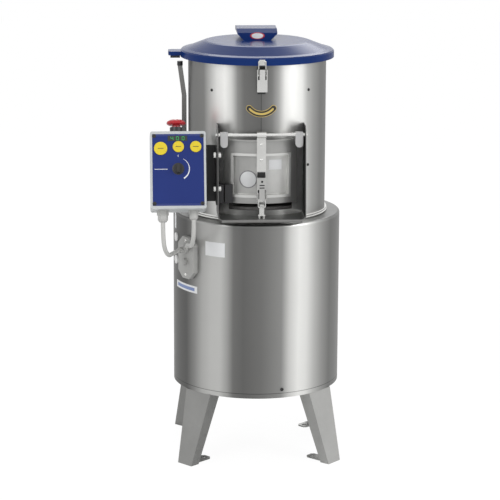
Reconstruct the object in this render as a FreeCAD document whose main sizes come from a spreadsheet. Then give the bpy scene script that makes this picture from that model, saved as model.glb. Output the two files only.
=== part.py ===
import FreeCAD, Part
import math
import os
import re
import Sketcher

# Electric potato peeler. Millimetres, +Z up, front towards -Y, origin on the floor under the drum axis.

SIZES = {
    # base casing
    "base_radius": 195.5,
    "base_wall": 1.5,
    "base_bottom": 167.0,
    "base_top": 576.0,
    "deck_wall": 2.0,
    "deck_edge": 6.0,
    "deck_hole": 30.0,
    "flange_wall": 3.0,
    "flange_wide": 45.5,
    "bottom_plate_wall": 1.5,
    "bottom_plate_lap": 12.0,
    "vent_inner": 60.0,
    "vent_outer": 120.0,
    "vent_wide": 10.0,
    # legs
    "leg_angle": 47.0,
    "leg_wall": 3.0,
    "leg_foot_radius": 240.0,
    "leg_top_wide": 78.0,
    "leg_foot_wide": 44.0,
    "leg_top_deep": 33.0,
    "leg_foot_deep": 24.0,
    "foot_tab_reach": 164.0,
    "foot_tab_wide": 28.0,
    "foot_hole": 5.0,
    "foot_hole_at": 175.0,
    # bolts in the legs and the bracket
    "bolt_radius": 4.0,
    "bolt_head": 7.0,
    "bolt_head_tall": 5.0,
    "bolt_nut_tall": 6.5,
    "leg_bolt_in": 16.5,
    "leg_bolt_half": 21.0,
    # drum
    "drum_radius": 160.0,
    "drum_wall": 1.5,
    "drum_top": 950.0,
    "drum_floor": 584.0,
    "drum_floor_wall": 3.0,
    "boss_radius": 30.0,
    "boss_top": 600.0,
    "boss_bore": 16.0,
    "foot_ring_wide": 5.0,
    "foot_ring_tall": 10.0,
    "opening_half": 27.0,
    "opening_bottom": 604.0,
    "opening_top": 752.0,
    # abrasive lining and disc
    "lining_wall": 2.5,
    "lining_gap": 0.3,
    "lining_bottom": 616.0,
    "lining_top": 905.0,
    "disc_radius": 150.0,
    "disc_bottom": 603.0,
    "disc_wall": 6.0,
    "disc_wave": 7.0,
    "disc_wave_wide": 26.0,
    "disc_hub": 24.0,
    "disc_hub_top": 624.0,
    # drive
    "shaft_radius": 12.5,
    "shaft_bottom": 222.0,
    "running_gap": 0.05,
    "bearing_radius": 26.0,
    "bearing_wide": 15.0,
    "housing_radius": 36.0,
    "housing_flange": 44.0,
    "housing_flange_tall": 8.0,
    "housing_bottom": 440.0,
    "housing_bore": 20.0,
    "seal_wide": 5.0,
    "driven_radius": 86.0,
    "pulley_wide": 26.0,
    "pulley_bottom": 232.0,
    "pulley_hub": 22.0,
    "pulley_rim": 9.0,
    "pulley_web": 7.0,
    "belt_wall": 4.0,
    "belt_wide": 18.0,
    "belt_gap": 0.3,
    "motor_at": 118.0,
    "motor_radius": 58.0,
    "motor_flange": 66.0,
    "motor_flange_tall": 10.0,
    "motor_bottom": 338.0,
    "motor_shaft_radius": 9.5,
    "motor_pulley_radius": 21.5,
    # drain and water inlet
    "drain_at": 115.0,
    "drain_radius": 25.0,
    "drain_wall": 2.0,
    "drain_bend": 45.0,
    "drain_level": 470.0,
    "drain_reach": 236.0,
    "drain_spigot": 38.0,
    "drain_step": 0.5,
    "inlet_angle": 180.0,
    "inlet_level": 860.0,
    "inlet_radius": 10.0,
    "inlet_bore": 7.0,
    "inlet_reach": 205.0,
    # chute guard
    "chute_half": 100.0,
    "chute_wall": 2.0,
    "chute_floor": 590.0,
    "chute_reach": 204.0,
    "chute_top": 800.0,
    "chute_top_reach": 187.0,
    "chute_corner": 9.0,
    "chute_lip": 4.0,
    "weld_gap": 0.2,
    # door
    "hinge_out": 172.0,
    "hinge_level": 780.0,
    "hinge_rod": 4.0,
    "hinge_gap": 0.1,
    "door_gap": 2.3,
    "door_wall": 2.0,
    "door_bottom": 620.0,
    "door_top": 768.0,
    "door_half": 30.4,
    "door_flange": 8.0,
    "door_flange_half": 25.6,
    "pan_bottom": 638.0,
    "pan_top": 732.0,
    "pan_half": 23.4,
    "pan_deep": 12.0,
    "pan_rim": 2.0,
    "lug_at": 85.0,
    "lug_wide": 17.0,
    "lug_tall": 28.0,
    "lug_out": 8.0,
    "lug_back": 141.0,
    "strap_half": 10.5,
    "strap_wall": 3.0,
    "strap_bottom": 624.5,
    "strap_knuckle": 7.5,
    "magnet_left": 82.0,
    "magnet_right": 64.0,
    "magnet_bottom": 622.0,
    "magnet_tall": 42.0,
    "magnet_out": 163.0,
    "sensor_gap": 3.0,
    # toggle latch, used on the lid and on the door
    "latch_back_gap": 0.3,
    "latch_plate": 2.0,
    "latch_half": 11.5,
    "latch_base_half": 9.0,
    "latch_base_down": 54.0,
    "latch_base_up": 8.0,
    "latch_pivot_out": 18.2,
    "latch_pin_out": 22.2,
    "latch_pin_down": 10.0,
    "latch_front_out": 27.7,
    "latch_tail": 46.0,
    "latch_nose": 4.5,
    "latch_sheet": 1.8,
    "latch_ear": 2.0,
    "latch_ear_at": 4.0,
    "latch_ear_round": 5.0,
    "latch_pivot": 2.0,
    "latch_slot_deep": 24.0,
    "bail_wire": 1.4,
    "bail_half": 8.0,
    "bail_up": 23.0,
    "bail_bend": 3.0,
    "lid_latch_level": 925.0,
    "door_latch_level": 640.0,
    "keeper_half": 5.5,
    "keeper_gap": 0.5,
    "keeper_ledge": 4.6,
    "keeper_clear": 1.0,
    "keeper_foot": 2.8,
    # lid
    "lid_radius": 178.0,
    "lid_bottom": 937.0,
    "lid_rim_top": 951.0,
    "lid_wall": 4.0,
    "lid_cone_radius": 164.0,
    "lid_cone_foot": 956.5,
    "lid_plateau": 121.0,
    "lid_top": 973.5,
    "lid_edge": 3.0,
    "lid_ring": 155.0,
    "lid_ring_wall": 2.5,
    "lid_ring_bottom": 928.0,
    "lid_tab_reach": 206.0,
    "lid_tab_half": 24.0,
    "lid_tab_bottom": 941.0,
    "lid_tab_top": 950.0,
    "handle_front": 5.0,
    "handle_back": 86.0,
    "handle_base": 63.0,
    "handle_wide": 93.0,
    "handle_low": 990.0,
    "handle_high": 1000.0,
    "handle_edge": 4.0,
    "seal_inner": 157.5,
    "seal_outer": 166.0,
    "seal_tall": 2.2,
    "seal_seat": 0.3,
    "catch_half": 6.5,
    "catch_wall": 2.0,
    "lid_magnet_size": 22.0,
    "lid_magnet_tall": 7.0,
    # lid hinge
    "lid_hinge_out": 186.0,
    "lid_hinge_level": 941.0,
    "lid_hinge_pin": 4.0,
    "lid_knuckle": 7.0,
    "lid_ear_at": 20.0,
    "lid_ear_wall": 3.0,
    "lid_bracket_half": 26.0,
    "lid_bracket_bottom": 890.0,
    "lid_bracket_top": 930.0,
    "leaf_reach": 46.0,
    "leaf_wall": 2.5,
    # interlock arm
    "arm_at": 169.5,
    "arm_half": 1.5,
    "arm_wall": 11.0,
    "arm_bottom": 690.0,
    "arm_bend": 845.0,
    "arm_top": 915.0,
    "arm_lean": 9.5,
    "head_radius": 6.5,
    "head_tall": 10.0,
    # control box, in the box's own frame before it leans back
    "box_x": -189.0,
    "box_y": -208.0,
    "box_z": 708.0,
    "box_lean": 19.0,
    "box_wide": 125.0,
    "box_tall": 175.0,
    "box_deep": 70.0,
    "box_wall": 3.5,
    "box_corner": 5.0,
    "cover_deep": 22.0,
    "panel_wide": 113.5,
    "panel_tall": 152.0,
    "panel_wall": 1.0,
    "panel_proud": 0.3,
    "button_proud": 2.5,
    "button_long": 11.0,
    "button_gap": 0.3,
    "button_left_radius": 14.9,
    "button_radius": 12.6,
    "button_left_x": -39.0,
    "button_mid_x": 0.7,
    "button_right_x": 39.7,
    "button_left_z": 48.5,
    "button_z": 52.3,
    "knob_radius": 11.0,
    "knob_proud": 15.0,
    "knob_skirt": 5.0,
    "knob_blade": 6.5,
    "knob_z": 2.3,
    "knob_gap": 0.6,
    "knob_shaft": 3.0,
    "stop_x": -3.0,
    "stop_y": 35.0,
    "collar_radius": 14.2,
    "collar_tall": 14.0,
    "stop_radius": 21.7,
    "stop_stem": 9.0,
    "stop_gap": 4.6,
    "stop_tall": 13.0,
    "gland_left_x": -35.0,
    "gland_right_x": 34.6,
    "gland_left_radius": 13.5,
    "gland_right_radius": 11.5,
    "gland_left_tall": 26.0,
    "gland_right_tall": 21.0,
    "cable_radius": 5.0,
    "cable_gap": 0.3,
    # bracket of the control box
    "bracket_wall": 3.0,
    "bracket_bottom": 622.0,
    "bracket_top": 752.0,
    "bracket_back": 137.0,
    "bracket_reach": 186.0,
    "bracket_bolt_out": 172.0,
    "bracket_bolt_low": 657.0,
    "bracket_bolt_high": 734.0,
    # cable housing and small fittings on the base
    "plate_angle": -55.5,
    "plate_wide": 58.0,
    "plate_tall": 98.0,
    "plate_chamfer": 17.0,
    "plate_out": 207.0,
    "plate_level": 485.0,
    "dome_radius": 10.5,
    "dome_level": 505.0,
    "collar_long": 18.0,
    "cap_nut_radius": 7.5,
    "cap_nut_drop": 29.0,
    "plug_angle": -75.0,
    "plug_radius": 10.0,
    "plug_wall": 3.0,
    "plug_high": 520.0,
    "plug_low": 466.0,
    "mains_angle": 160.0,
    "mains_level": 230.0,
    "mains_radius": 12.0,
    "mains_long": 22.0,
}

doc = FreeCAD.newDocument("potato_peeler")
dims = doc.addObject("Spreadsheet::Sheet", "dims")
for row, (alias, amount) in enumerate(SIZES.items(), start=1):
    dims.set("A%d" % row, alias)
    dims.set("B%d" % row, "%g" % amount)
    dims.setAlias("B%d" % row, alias)
doc.recompute()

X_AXIS = FreeCAD.Vector(1, 0, 0)
Y_AXIS = FreeCAD.Vector(0, 1, 0)
Z_AXIS = FreeCAD.Vector(0, 0, 1)
ORIGIN = FreeCAD.Vector(0, 0, 0)

nodes = []


def formula(text):
    """Write the sheet's name before each size in an expression."""
    return re.sub(r"[a-z]\w*", lambda word: "dims." + word[0] if word[0] in SIZES else word[0], str(text))


def number(text):
    """The value of an expression of sizes."""
    return float(dims.evalExpression(formula(text)))


def bind(thing, **formulas):
    """Tie an object's own sizes to the sheet."""
    for name, text in formulas.items():
        thing.setExpression(name, formula(text))
    return thing


def place(thing, x=0, y=0, z=0, axis=None, turn=0):
    """Tie an object's place, and its turn about one axis in degrees, to the sheet."""
    if axis is not None:
        thing.Placement = FreeCAD.Placement(ORIGIN, FreeCAD.Rotation(axis, number(turn) or 1))
        thing.setExpression("Placement.Rotation.Angle", formula(turn))
    for name, text in (("x", x), ("y", y), ("z", z)):
        thing.setExpression("Placement.Base." + name, formula(text))
    return thing


def node(thing, label):
    """Keep an object as a sub-part under its own name."""
    thing.Label = label
    nodes.append(thing)
    return thing


def box(x_size, y_size, z_size, x=0, y=0, z=0):
    """A block from its sizes and its lowest corner."""
    thing = doc.addObject("Part::Box", "block")
    bind(thing, Length=x_size, Width=y_size, Height=z_size)
    return place(thing, x, y, z)


def cylinder(radius, tall, x=0, y=0, z=0, axis=None, turn=0):
    """A round bar that starts at a point and runs along +Z until it is turned."""
    thing = doc.addObject("Part::Cylinder", "round")
    bind(thing, Radius=radius, Height=tall)
    return place(thing, x, y, z, axis, turn)


def along_x(radius, long, x, y, z):
    """A round bar along +X."""
    return cylinder(radius, long, x, y, z, Y_AXIS, 90)


def fuse(*things):
    thing = doc.addObject("Part::MultiFuse", "joined")
    thing.Shapes = list(things)
    return thing


def cut(base, tool):
    thing = doc.addObject("Part::Cut", "trimmed")
    thing.Base = base
    thing.Tool = tool
    return thing


def group(*things):
    thing = doc.addObject("Part::Compound", "group")
    thing.Links = list(things)
    return thing


def new_body(name):
    return doc.addObject("PartDesign::Body", name)


def outline(body, plane, points, level=0):
    """A closed outline of straight sides whose corners are tied to the sheet."""
    sketch = body.newObject("Sketcher::SketchObject", "outline")
    role = [part for part in body.Origin.OriginFeatures if part.Role == plane]
    sketch.AttachmentSupport = [(role[0], "")]
    sketch.MapMode = "FlatFace"
    sketch.setExpression("AttachmentOffset.Base.z", formula(level))
    corners = [FreeCAD.Vector(number(x), number(y), 0) for x, y in points]
    count = len(corners)
    for index in range(count):
        sketch.addGeometry(Part.LineSegment(corners[index], corners[(index + 1) % count]), False)
    for index in range(count):
        sketch.addConstraint(Sketcher.Constraint("Coincident", index, 2, (index + 1) % count, 1))
    for index, (x, y) in enumerate(points):
        for kind, text, amount in (("DistanceX", x, corners[index].x), ("DistanceY", y, corners[index].y)):
            tie = sketch.addConstraint(Sketcher.Constraint(kind, -1, 1, index, 1, amount))
            if not isinstance(text, (int, float)):
                sketch.setExpression("Constraints[%d]" % tie, formula(text))
    return sketch


def circle(body, plane, x, y, radius, level=0):
    """A round outline tied to the sheet."""
    sketch = body.newObject("Sketcher::SketchObject", "circle")
    role = [part for part in body.Origin.OriginFeatures if part.Role == plane]
    sketch.AttachmentSupport = [(role[0], "")]
    sketch.MapMode = "FlatFace"
    sketch.setExpression("AttachmentOffset.Base.z", formula(level))
    centre = FreeCAD.Vector(number(x), number(y), 0)
    sketch.addGeometry(Part.Circle(centre, Z_AXIS, number(radius)), False)
    for kind, text, amount in (("DistanceX", x, centre.x), ("DistanceY", y, centre.y)):
        tie = sketch.addConstraint(Sketcher.Constraint(kind, -1, 1, 0, 3, amount))
        sketch.setExpression("Constraints[%d]" % tie, formula(text))
    tie = sketch.addConstraint(Sketcher.Constraint("Radius", 0, number(radius)))
    sketch.setExpression("Constraints[%d]" % tie, formula(radius))
    return sketch


def feature(body, kind, sketch, **settings):
    """A feature of a body, made from a sketch."""
    thing = body.newObject("PartDesign::" + kind, kind.lower())
    thing.Profile = sketch
    for name, setting in settings.items():
        if isinstance(setting, str) and name in ("Length", "Angle", "Radius"):
            thing.setExpression(name, formula(setting))
        else:
            setattr(thing, name, setting)
    sketch.Visibility = False
    return thing


def turned(body, plane, points, angle=360, kind="Revolution"):
    """Turn an outline about the drum's axis, the same angle to each side of its plane."""
    sketch = outline(body, plane, points)
    thing = body.newObject("PartDesign::" + kind, kind.lower())
    thing.Profile = sketch
    thing.ReferenceAxis = (sketch, ["V_Axis"])
    thing.Midplane = True
    thing.setExpression("Angle", formula(angle))
    return thing


def padded(body, plane, points, length, level=0, middle=False, reverse=False):
    sketch = outline(body, plane, points, level)
    return feature(body, "Pad", sketch, Length=str(length), Midplane=middle, Reversed=reverse)


def pocket(body, sketch, length=None, reverse=False):
    """Cut along a sketch's normal: a depth, or right through both ways."""
    if length is None:
        return feature(body, "Pocket", sketch, Length="2400", Midplane=True)
    return feature(body, "Pocket", sketch, Length=str(length), Reversed=reverse)


def rounded(body, base, radius, pick):
    """Round the edges of a feature that a test picks by their shape and place."""
    doc.recompute()
    edges = []
    for index, edge in enumerate(base.Shape.Edges, start=1):
        if pick(edge):
            edges.append("Edge%d" % index)
    thing = body.newObject("PartDesign::Fillet", "round_edge")
    thing.Base = (base, edges)
    thing.setExpression("Radius", formula(radius))
    return thing


def is_ring(edge, radius, level):
    """True for a circle about the drum's axis of a given radius and height."""
    curve = edge.Curve
    if not isinstance(curve, Part.Circle):
        return False
    same_size = abs(curve.Radius - number(radius)) < 0.01
    return same_size and abs(curve.Center.z - number(level)) < 0.01


def runs_along(edge, axis):
    """True for a straight edge along an axis."""
    if not isinstance(edge.Curve, (Part.Line, Part.LineSegment)):
        return False
    return abs(abs(edge.tangentAt(edge.FirstParameter).dot(axis)) - 1) < 1e-6


def compass(angle, radius, level=0):
    """A point at an angle from the front, positive towards +X."""
    turn = math.radians(number(angle))
    away = number(radius)
    return FreeCAD.Vector(away * math.sin(turn), -away * math.cos(turn), number(level))


def radial(radius, start, end, angle, level):
    """A round bar that points away from the drum's axis."""
    thing = doc.addObject("Part::Cylinder", "radial")
    bind(thing, Radius=radius, Height="%s - (%s)" % (end, start))
    foot = compass(angle, start, level)
    turn = FreeCAD.Rotation(Z_AXIS, compass(angle, 1))
    thing.Placement = FreeCAD.Placement(foot, turn)
    thing.setExpression("Placement.Base.x", formula("(%s) * sin(%s)" % (start, angle)))
    thing.setExpression("Placement.Base.y", formula("-(%s) * cos(%s)" % (start, angle)))
    thing.setExpression("Placement.Base.z", formula(level))
    return thing


def bent_path(points, radii):
    """Straight runs joined by tangent arcs."""
    edges = []
    start = points[0]
    for index in range(1, len(points) - 1):
        corner = points[index]
        back = (points[index - 1] - corner).normalize()
        ahead = (points[index + 1] - corner).normalize()
        half_turn = (math.pi - back.getAngle(ahead)) / 2
        reach = radii[index - 1] * math.tan(half_turn)
        middle = (back + ahead).normalize()
        centre = corner + middle * (radii[index - 1] / math.cos(half_turn))
        first = corner + back * reach
        last = corner + ahead * reach
        top = centre - middle * radii[index - 1]
        edges.append(Part.LineSegment(start, first).toShape())
        edges.append(Part.Arc(first, top, last).toShape())
        start = last
    edges.append(Part.LineSegment(start, points[-1]).toShape())
    return Part.Wire(edges)


def cord_radii(points):
    """Each arc is as large as its two runs allow."""
    radii = []
    for index in range(1, len(points) - 1):
        back = points[index - 1] - points[index]
        ahead = points[index + 1] - points[index]
        half_turn = (math.pi - back.getAngle(ahead)) / 2
        radii.append(0.45 * min(back.Length, ahead.Length) / math.tan(half_turn))
    return radii


def tube(points, radii, radius):
    """A round solid along a bent path."""
    path = bent_path(points, radii)
    direction = points[1] - points[0]
    ring = Part.Wire([Part.Circle(points[0], direction, radius).toShape()])
    return path.makePipeShell([ring], True, False)


def shaped(shape, label):
    """Keep a shape worked out in code as a sub-part."""
    thing = doc.addObject("Part::Feature", label)
    thing.Shape = shape
    return node(thing, label)


# Base casing

def make_base_shell():
    body = new_body("base_casing")
    shell = turned(body, "XZ_Plane", [
        ("base_radius", "base_bottom"),
        ("base_radius", "base_top"),
        ("deck_hole", "base_top"),
        ("deck_hole", "base_top - deck_wall"),
        ("base_radius - base_wall", "base_top - deck_wall"),
        ("base_radius - base_wall", "base_bottom + flange_wall"),
        ("base_radius - flange_wide", "base_bottom + flange_wall"),
        ("base_radius - flange_wide", "base_bottom"),
    ])
    outer = rounded(body, shell, "deck_edge", lambda edge: is_ring(edge, "base_radius", "base_top"))
    inner_radius = "base_radius - base_wall"
    inner_level = "base_top - deck_wall"
    rounded(body, outer, "deck_edge - base_wall", lambda edge: is_ring(edge, inner_radius, inner_level))
    pocket(body, circle(body, "XY_Plane", 0, "drain_at", "drain_radius + 1", "drain_level"), 400, True)
    drain = circle(body, "XZ_Plane", 0, "drain_level", "drain_radius + button_gap")
    pocket(body, drain, "base_radius + 20")
    for turn in LEG_TURNS.values():
        for edge in (-1, 1):
            x = "(base_radius - leg_bolt_in) * cos(%s) - %d * leg_bolt_half * sin(%s)" % (turn, edge, turn)
            y = "(base_radius - leg_bolt_in) * sin(%s) + %d * leg_bolt_half * cos(%s)" % (turn, edge, turn)
            hole = circle(body, "XY_Plane", x, y, "bolt_radius + 0.3", "base_bottom + 50")
            pocket(body, hole, 60)
    node(body, "base_shell")


def make_bottom_plate():
    body = new_body("base_floor")
    level = "base_bottom + flange_wall"
    feature(body, "Pad", circle(body, "XY_Plane", 0, 0, "base_radius - flange_wide + bottom_plate_lap", level),
            Length="bottom_plate_wall")
    slot = outline(body, "XY_Plane", [
        ("vent_inner", "-vent_wide / 2"),
        ("vent_outer", "-vent_wide / 2"),
        ("vent_outer", "vent_wide / 2"),
        ("vent_inner", "vent_wide / 2"),
    ], "base_bottom + flange_wall + 10")
    vent = pocket(body, slot, 20)
    doc.recompute()
    ring = body.newObject("PartDesign::PolarPattern", "vents")
    ring.Originals = [vent]
    ring.Axis = (slot, ["N_Axis"])
    ring.Angle = 360
    ring.Occurrences = 6
    body.Tip = ring
    node(body, "bottom_plate")


LEG_TURNS = {
    "front_left": "270 - leg_angle",
    "front_right": "270 + leg_angle",
    "rear_left": "90 + leg_angle",
    "rear_right": "90 - leg_angle",
}


def leg_section(body, foot, deep, half, level):
    """A rectangle across the leg: outer face at one radius, open towards the drum's axis."""
    return outline(body, "XY_Plane", [
        ("%s - (%s)" % (foot, deep), "-(%s)" % half),
        (foot, "-(%s)" % half),
        (foot, half),
        ("%s - (%s)" % (foot, deep), half),
    ], level)


def make_leg(name, turn):
    body = new_body("leg_" + name)
    low = leg_section(body, "leg_foot_radius", "leg_foot_deep", "leg_foot_wide / 2", 0)
    high = leg_section(body, "base_radius - 1", "leg_top_deep", "leg_top_wide / 2", "base_bottom")
    skin = body.newObject("PartDesign::AdditiveLoft", "skin")
    skin.Profile = low
    skin.Sections = [high]
    skin.Ruled = True
    low_cut = leg_section(body, "leg_foot_radius - leg_wall", "leg_foot_deep + 8",
                          "leg_foot_wide / 2 - leg_wall", "leg_wall")
    high_cut = leg_section(body, "base_radius - 1 - leg_wall", "leg_top_deep + 8",
                           "leg_top_wide / 2 - leg_wall", "base_bottom - leg_wall")
    hollow = body.newObject("PartDesign::SubtractiveLoft", "hollow")
    hollow.Profile = low_cut
    hollow.Sections = [high_cut]
    hollow.Ruled = True
    padded(body, "XY_Plane", [
        ("foot_tab_reach", "-foot_tab_wide / 2 + 6"),
        ("foot_tab_reach + 6", "-foot_tab_wide / 2"),
        ("leg_foot_radius - leg_wall - 1", "-foot_tab_wide / 2"),
        ("leg_foot_radius - leg_wall - 1", "foot_tab_wide / 2"),
        ("foot_tab_reach + 6", "foot_tab_wide / 2"),
        ("foot_tab_reach", "foot_tab_wide / 2 - 6"),
    ], "leg_wall")
    pocket(body, circle(body, "XY_Plane", "foot_hole_at", 0, "foot_hole", "leg_wall + 5"), 20)
    for edge in (-1, 1):
        hole = circle(body, "XY_Plane", "base_radius - leg_bolt_in", "%d * leg_bolt_half" % edge, "bolt_radius + 0.3",
                      "base_bottom + 5")
        pocket(body, hole, "leg_wall + 6")
    place(body, axis=Z_AXIS, turn=turn)
    node(body, "leg_" + name)


def hex_head(radius, tall, x, y, z):
    thing = doc.addObject("Part::Prism", "hexagon")
    thing.Polygon = 6
    bind(thing, Circumradius=radius, Height=tall)
    return place(thing, x, y, z)


def make_frame_bolts():
    """Leg bolts with their heads inside the legs and nuts on the flange, and the bracket's two bolts."""
    bolts = []
    for turn in LEG_TURNS.values():
        for edge in (-1, 1):
            x = "(base_radius - leg_bolt_in) * cos(%s) - %d * leg_bolt_half * sin(%s)" % (turn, edge, turn)
            y = "(base_radius - leg_bolt_in) * sin(%s) + %d * leg_bolt_half * cos(%s)" % (turn, edge, turn)
            head = hex_head("bolt_head", "bolt_head_tall", x, y, "base_bottom - leg_wall - bolt_head_tall")
            shank = cylinder("bolt_radius", "leg_wall + flange_wall + bolt_nut_tall + 2", x, y,
                             "base_bottom - leg_wall")
            nut = hex_head("bolt_head", "bolt_nut_tall", x, y, "base_bottom + flange_wall")
            bolts.append(fuse(head, shank, nut))
    for level in ("bracket_bolt_low", "bracket_bolt_high"):
        outside = "-chute_half - weld_gap - bracket_wall"
        head = along_x("bolt_head", "bolt_head_tall", outside + " - bolt_head_tall", "-bracket_bolt_out", level)
        shank = along_x("bolt_radius", "bracket_wall + weld_gap + chute_wall + bolt_nut_tall", outside,
                        "-bracket_bolt_out", level)
        nut = along_x("bolt_head", "bolt_nut_tall", "-chute_half + chute_wall", "-bracket_bolt_out", level)
        bolts.append(fuse(head, shank, nut))
    node(group(*bolts), "frame_bolts")


# Drum with its floor, lining, disc and drive

def drum_opening(body, inner, bottom, top, half):
    """Cut the discharge opening out of a round wall at the front."""
    return turned(body, "YZ_Plane", [
        ("-(%s)" % inner, bottom),
        ("-drum_radius - 20", bottom),
        ("-drum_radius - 20", top),
        ("-(%s)" % inner, top),
    ], "2 * (%s)" % half, "Groove")


def inlet_hole():
    """Hole for the water inlet through the drum and its lining."""
    return radial("inlet_radius + button_gap", "drum_radius - 10", "drum_radius + 10", "inlet_angle", "inlet_level")


def make_drum_shell():
    body = new_body("drum")
    turned(body, "XZ_Plane", [
        ("drum_radius", "base_top"),
        ("drum_radius", "drum_top"),
        ("drum_radius - drum_wall", "drum_top"),
        ("drum_radius - drum_wall", "drum_floor"),
        ("boss_radius + 6", "drum_floor"),
        ("boss_radius", "boss_top - 4"),
        ("boss_radius - 4", "boss_top"),
        ("boss_bore", "boss_top"),
        ("boss_bore", "boss_top - drum_floor_wall"),
        ("boss_radius - 5", "boss_top - drum_floor_wall"),
        ("boss_radius + 3", "drum_floor - drum_floor_wall"),
        ("drum_radius - drum_wall", "drum_floor - drum_floor_wall"),
        ("drum_radius - drum_wall", "base_top"),
    ])
    drum_opening(body, "drum_radius - 20", "opening_bottom", "opening_top", "opening_half")
    drain = circle(body, "XY_Plane", 0, "drain_at", "drain_radius - drain_wall", "drum_floor + 2")
    pocket(body, drain, "drum_floor_wall + 4")
    node(cut(body, inlet_hole()), "drum_shell")


def make_foot_ring():
    """Bright double-beaded ring round the foot of the drum."""
    body = new_body("foot_ring")
    inner = "drum_radius + weld_gap"
    outer = "drum_radius + foot_ring_wide"
    turned(body, "XZ_Plane", [
        (inner, "base_top + weld_gap"),
        (outer + " - 1.2", "base_top + weld_gap"),
        (outer, "base_top + foot_ring_tall * 0.15"),
        (outer, "base_top + foot_ring_tall * 0.35"),
        (outer + " - 1.4", "base_top + foot_ring_tall * 0.5"),
        (outer + " - 0.6", "base_top + foot_ring_tall * 0.65"),
        (outer + " - 0.6", "base_top + foot_ring_tall * 0.85"),
        (outer + " - 1.8", "base_top + foot_ring_tall"),
        (inner, "base_top + foot_ring_tall"),
    ])
    node(body, "drum_foot_ring")


def make_lining():
    body = new_body("lining")
    outer = "drum_radius - drum_wall - lining_gap"
    turned(body, "XZ_Plane", [
        (outer, "lining_bottom"),
        (outer, "lining_top"),
        (outer + " - lining_wall", "lining_top"),
        (outer + " - lining_wall", "lining_bottom"),
    ])
    drum_opening(body, "drum_radius - 20", "lining_bottom - 5", "opening_top + 3", "opening_half + 1")
    node(cut(body, inlet_hole()), "abrasive_liner")


def make_disc():
    """Abrasive disc with three raised waves that throw the load outwards."""
    body = new_body("disc")
    bore = "shaft_radius + 0.02"
    turned(body, "XZ_Plane", [
        (bore, "disc_bottom"),
        ("disc_radius", "disc_bottom"),
        ("disc_radius", "disc_bottom + disc_wall"),
        ("disc_hub", "disc_bottom + disc_wall"),
        ("disc_hub - 4", "disc_hub_top"),
        (bore, "disc_hub_top"),
    ])
    wave_sketch = outline(body, "YZ_Plane", [
        ("-disc_wave_wide / 2", "disc_bottom + disc_wall - 1"),
        ("disc_wave_wide / 2", "disc_bottom + disc_wall - 1"),
        ("disc_wave_wide / 2", "disc_bottom + disc_wall"),
        ("disc_wave_wide / 5", "disc_bottom + disc_wall + disc_wave"),
        ("-disc_wave_wide / 5", "disc_bottom + disc_wall + disc_wave"),
        ("-disc_wave_wide / 2", "disc_bottom + disc_wall"),
    ], "disc_hub - 5")
    wave = feature(body, "Pad", wave_sketch, Length="disc_radius - disc_hub")
    doc.recompute()
    axis = [part for part in body.Origin.OriginFeatures if part.Role == "Z_Axis"]
    ring = body.newObject("PartDesign::PolarPattern", "waves")
    ring.Originals = [wave]
    ring.Axis = (axis[0], [""])
    ring.Angle = 360
    ring.Occurrences = 3
    body.Tip = ring
    node(body, "abrasive_disc")


def make_drive_shaft():
    body = new_body("shaft")
    turned(body, "XZ_Plane", [
        (0, "shaft_bottom"),
        ("shaft_radius - 2", "shaft_bottom"),
        ("shaft_radius", "shaft_bottom + 2"),
        ("shaft_radius", "disc_hub_top"),
        ("shaft_radius + 5", "disc_hub_top"),
        ("shaft_radius + 5", "disc_hub_top + 6"),
        ("shaft_radius", "disc_hub_top + 12"),
        (0, "disc_hub_top + 14"),
    ])
    node(body, "drive_shaft")


def make_bearing_housing():
    body = new_body("housing")
    top = "base_top - deck_wall - weld_gap"
    seat = "bearing_radius + 0.02"
    turned(body, "XZ_Plane", [
        (seat, top),
        ("housing_flange", top),
        ("housing_flange", top + " - housing_flange_tall"),
        ("housing_radius", top + " - housing_flange_tall"),
        ("housing_radius", "housing_bottom"),
        (seat, "housing_bottom"),
        (seat, "housing_bottom + bearing_wide"),
        ("housing_bore", "housing_bottom + bearing_wide"),
        ("housing_bore", top + " - bearing_wide"),
        (seat, top + " - bearing_wide"),
    ])
    node(body, "bearing_housing")


def make_bearings():
    rings = []
    top = "base_top - deck_wall - weld_gap - bearing_wide"
    for level in ("housing_bottom", top):
        outer = cylinder("bearing_radius", "bearing_wide", 0, 0, level)
        bore = cylinder("shaft_radius + running_gap", "bearing_wide + 2", 0, 0, level + " - 1")
        rings.append(cut(outer, bore))
    node(group(*rings), "shaft_bearings")


def make_shaft_seal():
    outer = cylinder("boss_bore - 0.02", "seal_wide", 0, 0, "boss_top - seal_wide")
    bore = cylinder("shaft_radius + running_gap", "seal_wide + 2", 0, 0, "boss_top - seal_wide - 1")
    node(cut(outer, bore), "shaft_seal")


def make_driven_pulley():
    body = new_body("pulley")
    top = "pulley_bottom + pulley_wide"
    web_low = "pulley_bottom + (pulley_wide - pulley_web) / 2"
    web_high = "pulley_bottom + (pulley_wide + pulley_web) / 2"
    bore = "shaft_radius + 0.02"
    turned(body, "XZ_Plane", [
        (bore, "pulley_bottom"),
        ("pulley_hub", "pulley_bottom"),
        ("pulley_hub", web_low),
        ("driven_radius - pulley_rim", web_low),
        ("driven_radius - pulley_rim", "pulley_bottom"),
        ("driven_radius", "pulley_bottom"),
        ("driven_radius", top),
        ("driven_radius - pulley_rim", top),
        ("driven_radius - pulley_rim", web_high),
        ("pulley_hub", web_high),
        ("pulley_hub", top),
        (bore, top),
    ])
    node(body, "driven_pulley")


def make_motor():
    body = new_body("motor_case")
    top = "base_top - deck_wall - weld_gap"
    turned(body, "XZ_Plane", [
        ("motor_shaft_radius + running_gap", top),
        ("motor_flange", top),
        ("motor_flange", top + " - motor_flange_tall"),
        ("motor_radius", top + " - motor_flange_tall"),
        ("motor_radius", "motor_bottom + 14"),
        ("motor_radius - 10", "motor_bottom"),
        ("motor_shaft_radius + running_gap", "motor_bottom"),
    ])
    place(body, x="motor_at")
    node(body, "motor")


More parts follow.
